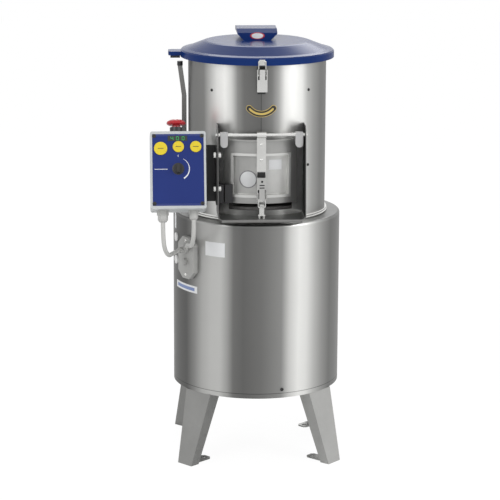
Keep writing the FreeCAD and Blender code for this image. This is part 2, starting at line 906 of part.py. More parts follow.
def make_motor_shaft():
    tall = "base_top - 40 - pulley_bottom"
    node(cylinder("motor_shaft_radius", tall, "motor_at", 0, "pulley_bottom"), "motor_shaft")


def make_motor_pulley():
    outer = cylinder("motor_pulley_radius", "pulley_wide", "motor_at", 0, "pulley_bottom")
    bore = cylinder("motor_shaft_radius + 0.02", "pulley_wide + 2", "motor_at", 0, "pulley_bottom - 1")
    node(cut(outer, bore), "motor_pulley")


def belt_outline(gap):
    """Two arcs and the two straight runs that touch them, as one face."""
    big = number("driven_radius") + gap
    small = number("motor_pulley_radius") + gap
    away = number("motor_at")
    lean = math.acos((big - small) / away)
    upper_big = FreeCAD.Vector(big * math.cos(lean), big * math.sin(lean), 0)
    upper_small = FreeCAD.Vector(away + small * math.cos(lean), small * math.sin(lean), 0)
    lower_big = FreeCAD.Vector(upper_big.x, -upper_big.y, 0)
    lower_small = FreeCAD.Vector(upper_small.x, -upper_small.y, 0)
    edges = [
        Part.Arc(upper_big, FreeCAD.Vector(-big, 0, 0), lower_big).toShape(),
        Part.LineSegment(lower_big, lower_small).toShape(),
        Part.Arc(lower_small, FreeCAD.Vector(away + small, 0, 0), upper_small).toShape(),
        Part.LineSegment(upper_small, upper_big).toShape(),
    ]
    return Part.Face(Part.Wire(edges))


def make_drive_belt():
    gap = number("belt_gap")
    ring = belt_outline(gap + number("belt_wall")).cut(belt_outline(gap))
    shape = ring.extrude(Z_AXIS * number("belt_wide"))
    shape.translate(Z_AXIS * number("pulley_bottom + (pulley_wide - belt_wide) / 2"))
    shaped(shape, "drive_belt")


def make_drain_pipe():
    """Elbow under the drum's floor that leaves the base at the rear."""
    out = number("drain_at")
    level = number("drain_level")
    points = [
        FreeCAD.Vector(0, out, number("drum_floor - drum_floor_wall - weld_gap")),
        FreeCAD.Vector(0, out, level),
        FreeCAD.Vector(0, number("drain_reach"), level),
    ]
    bend = [number("drain_bend")]
    radius = number("drain_radius")
    spigot = number("drain_spigot")
    pipe = tube(points, bend, radius - number("drain_step"))
    bore = tube(points, bend, radius - number("drain_wall"))
    tail = Part.makeCylinder(radius, spigot, points[-1] - Y_AXIS * spigot, Y_AXIS)
    shaped(pipe.fuse(tail).cut(bore), "drain_pipe")


def make_water_inlet():
    wall = "drum_radius - drum_wall"
    pipe = radial("inlet_radius", wall, "inlet_reach", "inlet_angle", "inlet_level")
    collar = radial("inlet_radius + 6", "drum_radius + 1", "drum_radius + 6", "inlet_angle", "inlet_level")
    bore = radial("inlet_bore", "drum_radius - 10", "inlet_reach + 2", "inlet_angle", "inlet_level")
    node(cut(fuse(pipe, collar), bore), "water_inlet")


# Chute guard at the front

def make_chute_guard():
    body = new_body("chute")
    floor = "chute_floor"
    inner = "chute_half - chute_wall"
    sheet = padded(body, "XZ_Plane", [
        ("-chute_half", "chute_top"),
        ("-chute_half", floor),
        ("chute_half", floor),
        ("chute_half", "chute_top"),
        (inner, "chute_top"),
        (inner, floor + " + chute_wall"),
        ("-(%s)" % inner, floor + " + chute_wall"),
        ("-(%s)" % inner, "chute_top"),
    ], "chute_reach - 100", 100)

    def outer_fold(edge):
        middle = edge.CenterOfMass
        return runs_along(edge, Y_AXIS) and abs(middle.z - number(floor)) < 0.01

    def inner_fold(edge):
        middle = edge.CenterOfMass
        return runs_along(edge, Y_AXIS) and abs(middle.z - number(floor + " + chute_wall")) < 0.01

    outside = rounded(body, sheet, "chute_corner", outer_fold)
    rounded(body, outside, "chute_corner - chute_wall", inner_fold)
    front = outline(body, "YZ_Plane", [
        ("-chute_reach", floor + " + 14"),
        ("-chute_top_reach", "chute_top - 26"),
        ("-chute_top_reach + 5", "chute_top - 9"),
        ("-chute_top_reach + 18", "chute_top"),
        ("-chute_top_reach + 18", "chute_top + 20"),
        ("-chute_reach - 20", "chute_top + 20"),
        ("-chute_reach - 20", floor + " + 14"),
    ])
    pocket(body, front)
    pocket(body, circle(body, "XY_Plane", 0, 0, "drum_radius + weld_gap", floor))
    for level in ("bracket_bolt_low", "bracket_bolt_high"):
        hole = circle(body, "YZ_Plane", "-bracket_bolt_out", level, "bolt_radius + 0.3", "-chute_half + 10")
        pocket(body, hole, 20)
    lip = circle(body, "YZ_Plane", "-chute_reach", floor + " + chute_wall - chute_lip", "chute_lip")
    feature(body, "Pad", lip, Length="2 * (chute_half - chute_corner)", Midplane=True)
    pocket(body, circle(body, "YZ_Plane", "-hinge_out", "hinge_level", "hinge_rod + 0.02"))
    node(body, "chute_guard")


def make_hinge_pins():
    """The door's rod through both cheeks, and the lid's pin through its bracket."""
    rod = along_x("hinge_rod", "2 * chute_half + 8", "-chute_half - 4", "-hinge_out", "hinge_level")
    half = "(lid_ear_at + lid_ear_wall + 3)"
    pin = along_x("lid_hinge_pin", "2 * %s" % half, "-" + half, "lid_hinge_out", "lid_hinge_level")
    node(group(rod, pin), "hinge_pins")


def make_door_panel():
    """Curved door with a rim, a recessed window pan and a flange along its top."""
    body = new_body("door")
    inner = "drum_radius + door_gap"
    outer = "drum_radius + door_gap + door_wall"
    deep = outer + " - pan_deep"

    def ring(low, high, bottom, top):
        return [("-(%s)" % low, bottom), ("-(%s)" % high, bottom), ("-(%s)" % high, top), ("-(%s)" % low, top)]

    turned(body, "YZ_Plane", ring(inner, outer, "door_bottom", "door_top"), "2 * door_half")
    turned(body, "YZ_Plane", ring(deep, outer, "pan_bottom", "pan_top"), "2 * pan_half")
    turned(body, "YZ_Plane", ring(inner, outer + " + door_flange", "door_top - 3", "door_top"),
           "2 * door_flange_half")
    rim = ring(inner, outer + " + pan_rim", "pan_bottom - 4", "pan_top + 4")
    turned(body, "YZ_Plane", rim, "2 * (pan_half + 1.5)")
    hollow = ring(deep + " + door_wall", outer + " + pan_rim + 5", "pan_bottom + door_wall", "pan_top - door_wall")
    turned(body, "YZ_Plane", hollow, "2 * (pan_half - 0.8)", "Groove")
    notch = outline(body, "XY_Plane", [
        ("-strap_half - 0.3", "-(%s) - 20" % outer),
        ("strap_half + 0.3", "-(%s) - 20" % outer),
        ("strap_half + 0.3", "-(%s)" % outer),
        ("-strap_half - 0.3", "-(%s)" % outer),
    ], "door_top + 5")
    pocket(body, notch, 9)
    node(body, "door_panel")


def make_door_lugs():
    """Two grey hinge lugs with round lower ends that carry the door on the rod."""
    lugs = []
    for side in (-1, 1):
        left = "%d * lug_at - lug_wide / 2" % side
        front = "-hinge_out - lug_out"
        plate = box("lug_wide", "2 * lug_out", "lug_tall - lug_wide / 2 + 6", left, front,
                    "hinge_level - (lug_tall - lug_wide / 2)")
        end = cylinder("lug_wide / 2", "2 * lug_out", "%d * lug_at" % side, "-hinge_out + lug_out",
                       "hinge_level - (lug_tall - lug_wide / 2)", X_AXIS, 90)
        arm_level = "hinge_level - (lug_tall - lug_wide / 2)"
        arm = box("lug_wide - 4", "hinge_out - lug_out - lug_back", "door_top - (%s)" % arm_level,
                  left + " + 2", "-hinge_out + lug_out", arm_level)
        bore = along_x("hinge_rod + hinge_gap", "lug_wide + 4", left + " - 2", "-hinge_out", "hinge_level")
        behind = cylinder("drum_radius + door_gap + door_wall", 300, 0, 0, "door_bottom")
        lugs.append(cut(cut(fuse(plate, end, arm), bore), behind))
    node(group(*lugs), "door_lugs")


def make_door_strap():
    back = "drum_radius + door_gap + door_wall + pan_rim + weld_gap"
    plate = box("2 * strap_half", "strap_wall", "hinge_level - strap_bottom", "-strap_half",
                "-(%s) - strap_wall" % back, "strap_bottom")
    knuckle = along_x("strap_knuckle", "2 * strap_half", "-strap_half", "-hinge_out", "hinge_level")
    bore = along_x("hinge_rod + hinge_gap", "2 * strap_half + 4", "-strap_half - 2", "-hinge_out", "hinge_level")
    node(cut(fuse(plate, knuckle), bore), "door_strap")


def make_door_magnet():
    """Black coded magnet on the door's lower left corner."""
    block = box("magnet_left - magnet_right", 40, "magnet_tall", "-magnet_left", "-magnet_out", "magnet_bottom")
    behind = cylinder("drum_radius + door_gap + door_wall + pan_rim + weld_gap", 300, 0, 0, "door_bottom - 20")
    node(cut(block, behind), "door_magnet")


def make_door_sensor():
    """Black sensor on the inner face of the left cheek, beside the magnet."""
    wide = "chute_half - chute_wall - magnet_left - sensor_gap"
    block = box(wide, 16, "magnet_tall", "-chute_half + chute_wall", "-magnet_out", "magnet_bottom")
    node(block, "door_sensor")


def door_latch_back():
    return "(drum_radius + door_gap + door_wall + pan_rim + weld_gap + strap_wall + latch_back_gap)"


def make_door_keeper():
    """Keeper on two studs, with a ledge over the bail's bar that is open to the front."""
    bar_out = door_latch_back() + " + latch_pin_out"
    bar_level = "door_latch_level - bail_up"
    floor = "chute_floor + chute_wall"
    face = "%s - bail_wire - keeper_gap" % bar_out
    ledge_low = "%s + bail_wire + keeper_clear" % bar_level
    post = box("2 * keeper_half", 7, "%s + 3 - (%s) - 8" % (ledge_low, floor), "-keeper_half",
               "-(%s)" % face, floor + " + 8")
    ledge = box("2 * keeper_half", "keeper_ledge", 3, "-keeper_half", "-(%s) - keeper_ledge" % face, ledge_low)
    sole = box("2 * bail_half", 7, 3, "-bail_half", "-(%s)" % face, floor + " + 5")
    studs = [cylinder("keeper_foot", 5, "%d * (bail_half - keeper_foot)" % side, "-(%s) + 3.5" % face, floor)
             for side in (-1, 1)]
    node(fuse(post, ledge, sole, *studs), "door_keeper")


# Toggle latch in its own frame: back of the plate at y = 0, pivot at z = 0, bail towards +Z

def latch_base(name, seat):
    body = new_body(name)
    padded(body, "XZ_Plane", [
        ("-latch_base_half", "-latch_base_down"),
        ("latch_base_half", "-latch_base_down"),
        ("latch_base_half", "latch_base_up"),
        ("-latch_base_half", "latch_base_up"),
    ], "latch_plate")
    for side in (-1, 1):
        level = "latch_ear_at" if side > 0 else "-latch_ear_at - latch_ear"
        padded(body, "YZ_Plane", [
            ("-latch_plate", -14),
            ("-latch_plate", 1),
            ("-latch_pivot_out", "latch_ear_round"),
            ("-latch_pivot_out - latch_ear_round * 0.7", "latch_ear_round * 0.7"),
            ("-latch_pivot_out - latch_ear_round", 0),
            ("-latch_pivot_out - latch_ear_round * 0.7", "-latch_ear_round * 0.7"),
            ("-latch_pivot_out", "-latch_ear_round"),
        ], "latch_ear", level)
    hole = circle(body, "YZ_Plane", "-latch_pivot_out", 0, "latch_pivot + hinge_gap")
    pocket(body, hole)
    seat(body)
    node(body, name)


def latch_lever(name, seat, slotted):
    inner = "latch_half - latch_sheet"
    plate = box("2 * latch_half", "latch_sheet", "latch_tail + latch_nose", "-latch_half",
                "-latch_front_out", "-latch_tail")
    sides = []
    for side in (-1, 1):
        left = inner if side > 0 else "-latch_half"
        sides.append(box("latch_sheet", "latch_front_out - latch_pivot_out + 4.5", "latch_pin_down + latch_nose + 6",
                         left, "-latch_front_out", "-latch_pin_down - 6"))
        sides.append(box("latch_sheet", 7, "latch_tail - latch_pin_down - 6", left, "-latch_front_out",
                         "-latch_tail"))
    pin = along_x("latch_pivot", "2 * latch_half", "-latch_half", "-latch_pivot_out", 0)
    whole = fuse(plate, *sides)
    holes = [along_x("bail_wire + hinge_gap", "2 * latch_half + 4", "-latch_half - 2", "-latch_pin_out",
                     "-latch_pin_down")]
    for side in (-1, 1):
        holes.append(box("2 * bail_wire + 0.8", 3, "latch_slot_deep", "%d * bail_half - bail_wire - 0.4" % side,
                         "-latch_front_out - 1", "latch_nose - latch_slot_deep + 1"))
    if slotted:
        for drop in (24, 30):
            holes.append(box("latch_half", 4, 2.5, "-latch_half / 2", "-latch_front_out - 1", "-%d" % drop))
        holes.append(cylinder(2.6, 5, 0, "-latch_front_out + 3", -37, X_AXIS, 90))
    lever = fuse(cut(whole, group(*holes)), pin)
    seat(lever)
    node(lever, name)


def latch_bail(name, seat):
    """Wire bail: two arms, a bar across the top, and feet bent out into the lever."""
    half = number("bail_half")
    foot = number("latch_half")
    out = number("latch_pin_out")
    low = -number("latch_pin_down")
    high = number("bail_up")
    points = [
        FreeCAD.Vector(-foot, -out, low),
        FreeCAD.Vector(-half, -out, low),
        FreeCAD.Vector(-half, -out, high),
        FreeCAD.Vector(half, -out, high),
        FreeCAD.Vector(half, -out, low),
        FreeCAD.Vector(foot, -out, low),
    ]
    wire = number("bail_wire")
    bend = number("bail_bend")
    tight = 1.15 * wire
    bail = shaped(tube(points, [tight, bend, bend, tight], wire), name)
    seat(bail)


def on_drum(thing):
    return place(thing, y="-drum_radius - latch_back_gap", z="lid_latch_level")


def on_door(thing):
    return place(thing, y="-" + door_latch_back(), z="door_latch_level", axis=Y_AXIS, turn=180)


# Lid

def make_lid_cover():
    body = new_body("lid")
    turned(body, "XZ_Plane", [
        ("lid_radius", "lid_bottom"),
        ("lid_radius", "lid_rim_top"),
        ("lid_radius - lid_edge", "lid_rim_top + lid_edge"),
        ("lid_cone_radius", "lid_cone_foot"),
        ("lid_plateau + 3", "lid_top - 1.5"),
        ("lid_plateau - 3", "lid_top"),
        (0, "lid_top"),
        (0, "lid_top - lid_wall"),
        ("lid_plateau - 4", "lid_top - lid_wall"),
        ("lid_ring - lid_ring_wall", "lid_cone_foot + 0.8 - lid_wall"),
        ("lid_ring - lid_ring_wall", "lid_ring_bottom"),
        ("lid_ring", "lid_ring_bottom"),
        ("lid_ring", "drum_top + seal_seat + seal_tall + 0.3"),
        ("lid_radius - lid_wall", "drum_top + seal_seat + seal_tall + 0.3"),
        ("lid_radius - lid_wall", "lid_bottom"),
    ])
    padded(body, "XY_Plane", [
        ("-lid_tab_reach", "-lid_tab_half + 6"),
        ("-lid_tab_reach + 6", "-lid_tab_half"),
        ("-lid_radius + 5", "-lid_tab_half"),
        ("-lid_radius + 5", "lid_tab_half"),
        ("-lid_tab_reach + 6", "lid_tab_half"),
        ("-lid_tab_reach", "lid_tab_half - 6"),
    ], "lid_tab_top - lid_tab_bottom", "lid_tab_bottom")
    node(body, "lid_cover")


def make_lid_handle():
    """Raised grip that is wider at its top than at its foot."""
    body = new_body("handle")
    padded(body, "XZ_Plane", [
        ("-handle_base / 2", "lid_top"),
        ("handle_base / 2", "lid_top"),
        ("handle_wide / 2", "handle_low - 2"),
        ("handle_wide / 2", "handle_high"),
        ("-handle_wide / 2", "handle_high"),
        ("-handle_wide / 2", "handle_low - 2"),
    ], "handle_back + handle_front", "-handle_back")
    slope = outline(body, "YZ_Plane", [
        ("-handle_front - 1", "handle_low"),
        ("handle_front + 12", "handle_high - 2"),
        ("handle_back - 20", "handle_high"),
        ("handle_back + 1", "handle_high - 3"),
        ("handle_back + 1", "handle_high + 5"),
        ("-handle_front - 1", "handle_high + 5"),
    ])
    top = pocket(body, slope)

    def side_edge(edge):
        middle = edge.CenterOfMass
        at_side = abs(abs(middle.x) - number("handle_wide / 2")) < 0.5
        return at_side and runs_along(edge, Y_AXIS) and middle.z < number("handle_low")

    rounded(body, top, "handle_edge", side_edge)
    node(body, "lid_handle")


def make_lid_seal():
    body = new_body("seal")
    low = "drum_top + seal_seat"
    turned(body, "XZ_Plane", [
        ("seal_inner + 0.3", low),
        ("seal_outer", low),
        ("seal_outer", low + " + seal_tall"),
        ("seal_inner + 0.3", low + " + seal_tall"),
    ])
    node(body, "lid_seal")


def make_lid_catch():
    """Steel catch on the lid's rim, just behind the bail's bar."""
    front = "drum_radius + latch_back_gap + latch_pin_out - bail_wire - 0.4"
    back = "lid_radius + 0.1"
    plate = box("2 * catch_half", "catch_wall - 0.6", "lid_rim_top - lid_bottom - 1", "-catch_half",
                "-(%s) - catch_wall + 0.6" % back, "lid_bottom + 1")
    nose = box("2 * catch_half - 2", "%s - (%s)" % (front, back), 4, "-catch_half + 1", "-(%s)" % front,
               "lid_bottom + 7")
    node(fuse(plate, nose), "lid_catch")


def make_lid_magnet():
    size = "lid_magnet_size"
    node(box(size, size, "lid_magnet_tall", "-lid_tab_reach + 5", "-%s / 2" % size,
             "lid_tab_bottom - lid_magnet_tall"), "lid_magnet")


def make_lid_hinge():
    """Bracket on the drum with two ears, the pin through them, and the leaf on the lid."""
    bracket = new_body("hinge_bracket")
    padded(bracket, "XZ_Plane", [
        ("-lid_bracket_half", "lid_bracket_bottom"),
        ("lid_bracket_half", "lid_bracket_bottom"),
        ("lid_bracket_half", "lid_bracket_top"),
        ("-lid_bracket_half", "lid_bracket_top"),
    ], 6, "-drum_radius - 3")
    for side in (-1, 1):
        level = "lid_ear_at" if side > 0 else "-lid_ear_at - lid_ear_wall"
        padded(bracket, "YZ_Plane", [
            ("drum_radius + 1", "lid_bracket_bottom"),
            ("drum_radius + 10", "lid_bracket_bottom"),
            ("lid_hinge_out + lid_knuckle", "lid_hinge_level - 8"),
            ("lid_hinge_out + lid_knuckle", "lid_hinge_level + 3"),
            ("lid_hinge_out + lid_knuckle - 4", "lid_hinge_level + lid_knuckle"),
            ("lid_hinge_out - 3", "lid_hinge_level + lid_knuckle"),
            ("lid_hinge_out - 6", "lid_hinge_level + 3"),
            ("lid_hinge_out - 6", "lid_bracket_top + 2"),
            ("drum_radius + 1", "lid_bracket_top"),
        ], "lid_ear_wall", level)
    pocket(bracket, circle(bracket, "XY_Plane", 0, 0, "drum_radius + weld_gap"))
    pocket(bracket, circle(bracket, "YZ_Plane", "lid_hinge_out", "lid_hinge_level", "lid_hinge_pin + 0.02"))
    node(bracket, "lid_hinge_bracket")
    wide = "(lid_ear_at - 0.5)"
    knuckle = along_x("lid_knuckle", "2 * %s" % wide, "-" + wide, "lid_hinge_out", "lid_hinge_level")
    post = box("2 * %s" % wide, 5, "lid_cone_foot + leaf_wall + 2 - lid_hinge_level", "-" + wide,
               "lid_hinge_out + lid_knuckle - 5", "lid_hinge_level")
    leaf = box("2 * %s" % wide, "leaf_reach", "leaf_wall", "-" + wide,
               "lid_hinge_out + lid_knuckle - leaf_reach", "lid_cone_foot + 2")
    bore = along_x("lid_hinge_pin + hinge_gap", "2 * lid_ear_at + 4", "-lid_ear_at - 2", "lid_hinge_out",
                   "lid_hinge_level")
    foot = box("2 * %s" % wide, 14, 8, "-" + wide, "lid_cone_radius - 4", "lid_cone_foot - 5")
    node(cut(cut(fuse(knuckle, post, leaf, foot), bore), lid_outside()), "lid_hinge_leaf")


def lid_outside():
    """The space under the lid's outer face, taken away from what sits on it."""
    low = cylinder("lid_radius", "lid_edge + lid_rim_top - lid_bottom", 0, 0, "lid_bottom")
    rise = doc.addObject("Part::Cone", "rise")
    bind(rise, Radius1="lid_radius - lid_edge", Radius2="lid_cone_radius",
         Height="lid_cone_foot - lid_rim_top - lid_edge")
    place(rise, z="lid_rim_top + lid_edge")
    slope = doc.addObject("Part::Cone", "slope")
    bind(slope, Radius1="lid_cone_radius", Radius2="lid_plateau + 3", Height="lid_top - 1.5 - lid_cone_foot")
    place(slope, z="lid_cone_foot")
    return place(fuse(low, rise, slope), z="weld_gap")


def make_interlock_arm():
    """Flat steel arm beside the drum, bent outwards near its top, with the sensor head on it."""
    body = new_body("arm")
    lean = "arm_lean"
    padded(body, "XZ_Plane", [
        ("-arm_at - arm_wall / 2", "arm_bottom"),
        ("-arm_at + arm_wall / 2", "arm_bottom"),
        ("-arm_at + arm_wall / 2", "arm_bend"),
        ("-arm_at + arm_wall / 2 - %s" % lean, "arm_top"),
        ("-arm_at - arm_wall / 2 - %s" % lean, "arm_top"),
        ("-arm_at - arm_wall / 2", "arm_bend"),
    ], "2 * arm_half", "-arm_half")
    padded(body, "XZ_Plane", [
        ("-arm_at + arm_wall / 2", "arm_bottom"),
        ("-drum_radius + 1", "arm_bottom"),
        ("-drum_radius + 1", "arm_bottom + 30"),
        ("-arm_at + arm_wall / 2", "arm_bottom + 30"),
    ], "2 * arm_half", "-arm_half")
    pocket(body, circle(body, "XY_Plane", 0, 0, "drum_radius + weld_gap"))
    node(body, "interlock_arm")
    head = cylinder("head_radius", "head_tall", "-arm_at - %s" % lean, 0, "arm_top")
    node(head, "interlock_head")


# Control box, built upright and then leaned back about its middle

def on_box(thing):
    return place(thing, "box_x", "box_y", "box_z", X_AXIS, "-box_lean")


def button_places():
    return (
        ("button_left", "button_left_x", "button_left_z", "button_left_radius"),
        ("button_middle", "button_mid_x", "button_z", "button_radius"),
        ("button_right", "button_right_x", "button_z", "button_radius"),
    )


def box_outline(body, wide, tall, level):
    return outline(body, "XZ_Plane", [
        ("-%s / 2" % wide, "-%s / 2" % tall),
        ("%s / 2" % wide, "-%s / 2" % tall),
        ("%s / 2" % wide, "%s / 2" % tall),
        ("-%s / 2" % wide, "%s / 2" % tall),
    ], level)


def make_box_half(name, front, back, open_front):
    """One half of the enclosure: a tray with round corners, open towards the other half."""
    body = new_body(name)
    block = feature(body, "Pad", box_outline(body, "box_wide", "box_tall", "-(%s)" % back),
                    Length="%s - (%s)" % (back, front))
    rounded(body, block, "box_corner", lambda edge: runs_along(edge, Y_AXIS))
    inner_wide = "(box_wide - 2 * box_wall)"
    inner_tall = "(box_tall - 2 * box_wall)"
    if open_front:
        hollow = box_outline(body, inner_wide, inner_tall, "-(%s)" % front)
        feature(body, "Pocket", hollow, Length="%s - (%s) - box_wall" % (back, front))
    else:
        hollow = box_outline(body, inner_wide, inner_tall, "-(%s)" % back)
        feature(body, "Pocket", hollow, Length="%s - (%s) - box_wall" % (back, front), Reversed=True)
    return body


def make_box_base():
    body = make_box_half("box_tray", "cover_deep", "box_deep", True)
    on_box(body)
    node(body, "box_base")


def make_box_cover():
    body = make_box_half("box_lid", 0, "cover_deep", False)
    recess = box_outline(body, "(panel_wide + 0.4)", "(panel_tall + 0.4)", 0)
    feature(body, "Pocket", recess, Length="panel_wall - panel_proud")
    for _, x, z, radius in button_places():
        pocket(body, circle(body, "XZ_Plane", x, z, radius + " + button_gap"), "box_wall + 2")
    pocket(body, circle(body, "XZ_Plane", 0, "knob_z", "knob_shaft + running_gap"), "box_wall + 2")
    on_box(body)
    node(body, "box_cover")


def make_control_panel():
    body = new_body("panel")
    feature(body, "Pad", box_outline(body, "panel_wide", "panel_tall", "-panel_wall + panel_proud"),
            Length="panel_wall")
    for _, x, z, radius in button_places():
        pocket(body, circle(body, "XZ_Plane", x, z, radius + " + button_gap", 5), 20)
    pocket(body, circle(body, "XZ_Plane", 0, "knob_z", "knob_shaft + running_gap", 5), 20)
    on_box(body)
    node(body, "control_panel")


def make_buttons():
    for name, x, z, radius in button_places():
        body = new_body(name + "_cap")
        cap = feature(body, "Pad", circle(body, "XZ_Plane", x, z, radius, "-button_long + button_proud"),
                      Length="button_long")
        rounded(body, cap, 0.8, lambda edge: edge.CenterOfMass.y < 0)
        on_box(body)
        node(body, name)


def make_knob():
    """Pointer knob: a round skirt with a straight blade across it."""
    body = new_body("knob")
    feature(body, "Pad", circle(body, "XZ_Plane", 0, "knob_z", "knob_radius", "knob_gap"), Length="knob_skirt")
    padded(body, "XZ_Plane", [
        ("-knob_blade / 2", "knob_z - knob_radius * 0.82"),
        ("knob_blade / 2", "knob_z - knob_radius * 0.82"),
        ("knob_blade / 2", "knob_z + knob_radius * 0.6"),
        (0, "knob_z + knob_radius * 0.98"),
        ("-knob_blade / 2", "knob_z + knob_radius * 0.6"),
    ], "knob_proud - knob_skirt", "knob_gap + knob_skirt")
    stem = circle(body, "XZ_Plane", 0, "knob_z", "knob_shaft", "-box_wall - 6")
    feature(body, "Pad", stem, Length="knob_gap + box_wall + 6")
    on_box(body)
    node(body, "timer_knob")


def make_stop_button():
    collar = cylinder("collar_radius", "collar_tall", "stop_x", "stop_y", "box_tall / 2")
    bore = cylinder("stop_stem + running_gap", "collar_tall + 2", "stop_x", "stop_y", "box_tall / 2 - 1")
    node(on_box(cut(collar, bore)), "stop_collar")
    body = new_body("mushroom")
    low = "box_tall / 2 + collar_tall + stop_gap"
    turned(body, "XZ_Plane", [
        (0, "box_tall / 2 + stop_gap + 1"),
        ("stop_stem", "box_tall / 2 + stop_gap + 1"),
        ("stop_stem", low),
        ("stop_radius - 6", low),
        ("stop_radius - 1", low + " + stop_tall * 0.2"),
        ("stop_radius", low + " + stop_tall * 0.45"),
        ("stop_radius - 1.5", low + " + stop_tall * 0.7"),
        ("stop_radius - 7", low + " + stop_tall * 0.93"),
        (0, low + " + stop_tall"),
    ])
    seat = FreeCAD.Vector(number("stop_x"), number("stop_y"), 0)
    lean = FreeCAD.Rotation(X_AXIS, -number("box_lean"))
    spot = FreeCAD.Vector(number("box_x"), number("box_y"), number("box_z")) + lean.multVec(seat)
    body.Placement = FreeCAD.Placement(spot, lean)
    node(body, "stop_button")


def make_glands():
    """Two cable glands under the box, with a hexagon and a dome nut, and the mains gland at the rear."""
    glands = []
    for x, radius, tall in (("gland_left_x", "gland_left_radius", "gland_left_tall"),
                            ("gland_right_x", "gland_right_radius", "gland_right_tall")):
        low = "-box_tall / 2 - %s" % tall
        hexagon = hex_head(radius, "%s * 0.42" % tall, x, "stop_y", "-box_tall / 2 - %s * 0.42" % tall)
        nut = cylinder(radius + " * 0.86", "%s * 0.4" % tall, x, "stop_y", "-box_tall / 2 - %s * 0.82" % tall)
        nose = doc.addObject("Part::Cone", "nose")
        bind(nose, Radius1=radius + " * 0.6", Radius2=radius + " * 0.86", Height="%s * 0.18" % tall)
        place(nose, x, "stop_y", low)
        glands.append(fuse(hexagon, nut, nose))
    node(group(on_box(group(*glands)), mains_gland()), "cable_glands")


def make_bracket():
    """Folded sheet between the left cheek and the side of the box."""
    body = new_body("bracket")
    cheek = "-chute_half"
    side = "(box_x + box_wide / 2 + weld_gap)"
    padded(body, "XY_Plane", [
        (cheek + " - weld_gap", "-bracket_reach"),
        (cheek + " - weld_gap", "-bracket_back"),
        (side, "-bracket_back"),
        (side, "-bracket_reach"),
        (side + " + bracket_wall", "-bracket_reach"),
        (side + " + bracket_wall", "-bracket_back - bracket_wall"),
        (cheek + " - weld_gap - bracket_wall", "-bracket_back - bracket_wall"),
        (cheek + " - weld_gap - bracket_wall", "-bracket_reach"),
    ], "bracket_top - bracket_bottom", "bracket_bottom")
    for level in ("bracket_bolt_low", "bracket_bolt_high"):
        hole = circle(body, "YZ_Plane", "-bracket_bolt_out", level, "bolt_radius + 0.3", "-chute_half + 1")
        pocket(body, hole, 8)
    node(body, "control_bracket")


# Cable housing, cables and small fittings on the base

def housing_frame():
    """Middle of the housing's dome and the direction away from the drum there."""
    out = compass("plate_angle", 1)
    spot = compass("plate_angle", "plate_out", "dome_level")
    return spot, out


def make_cable_housing():
    """Chamfered plate on the casing with a dome that both cables enter and a cap nut below it."""
    half = "plate_wide / 2"
    tall = "plate_tall / 2"
    body = new_body("housing_plate")
    padded(body, "YZ_Plane", [
        ("-(%s)" % half, "plate_level - %s + plate_chamfer" % tall),
        ("-(%s) + plate_chamfer" % half, "plate_level - %s" % tall),
        ("%s - plate_chamfer" % half, "plate_level - %s" % tall),
        (half, "plate_level - %s + plate_chamfer" % tall),
        (half, "plate_level + %s - plate_chamfer" % tall),
        ("%s - plate_chamfer" % half, "plate_level + %s" % tall),
        ("-(%s) + plate_chamfer" % half, "plate_level + %s" % tall),
        ("-(%s)" % half, "plate_level + %s - plate_chamfer" % tall),
    ], "plate_out - base_radius + 8", "base_radius - 8")
    pocket(body, circle(body, "XY_Plane", 0, 0, "base_radius + weld_gap"))
    place(body, axis=Z_AXIS, turn="plate_angle - 90")
    dome = doc.addObject("Part::Sphere", "dome")
    bind(dome, Radius="dome_radius")
    spot, out = housing_frame()
    dome.Placement = FreeCAD.Placement(spot, FreeCAD.Rotation())
    parts = [body, dome]
    for direction in (out, side_entry()):
        entry = doc.addObject("Part::Cylinder", "entry")
        bind(entry, Radius="cable_radius + 2.5", Height="collar_long")
        entry.Placement = FreeCAD.Placement(spot, FreeCAD.Rotation(Z_AXIS, direction))
        parts.append(entry)
    parts.append(radial("cap_nut_radius", "plate_out - 1", "plate_out + 7", "plate_angle",
                        "dome_level - cap_nut_drop"))
    node(fuse(*parts), "cable_housing")


def side_entry():
    """Direction of the second cable out of the dome: up and to the front."""
    return FreeCAD.Vector(0.10, -0.86, 0.50).normalize()


def gland_mouth(x, tall):
    """Middle of a gland's lower face and the direction out of it, after the box leans back."""
    lean = FreeCAD.Rotation(X_AXIS, -number("box_lean"))
    local = FreeCAD.Vector(number(x), number("stop_y"), -number("box_tall") / 2 - number(tall))
    middle = FreeCAD.Vector(number("box_x"), number("box_y"), number("box_z"))
    return middle + lean.multVec(local), lean.multVec(-Z_AXIS)


def make_cable(name, x, tall, between, direction):
    """A grey cable from its gland to the dome on the casing."""
    mouth, away = gland_mouth(x, tall)
    start = mouth + away * number("cable_gap")
    spot, _ = housing_frame()
    end = spot + direction * number("collar_long + cable_gap")
    points = [start] + [FreeCAD.Vector(*point) for point in between] + [end]
    radii = cord_radii(points)
    runs = [(points[index + 1] - points[index]).Length for index in range(len(points) - 1)]
    print(name, "points", [[round(value, 1) for value in point] for point in points])
    print(name, "radii", [round(value, 1) for value in radii], "runs", [round(run, 1) for run in runs])
    shape = tube(points, radii, number("cable_radius"))
    length = shape.Volume / (math.pi * number("cable_radius") ** 2)
    print(name, "length by volume", round(length, 1), "by path", round(bent_path(points, radii).Length, 1))
    shaped(shape, name)


def make_cables():
    _, out = housing_frame()
    left = [(-224, -223, 557.1), (-225.7, -212.3, 524.3), (-225.5, -183.2, 504.4), (-215.3, -148, 505)]
    right = [(-154.4, -218.4, 570.1), (-156.4, -212.1, 545.3), (-159.8, -192.6, 527.9), (-167, -148, 522.8)]
    make_cable("cable_left", "gland_left_x", "gland_left_tall", left, out)
    make_cable("cable_right", "gland_right_x", "gland_right_tall", right, side_entry())


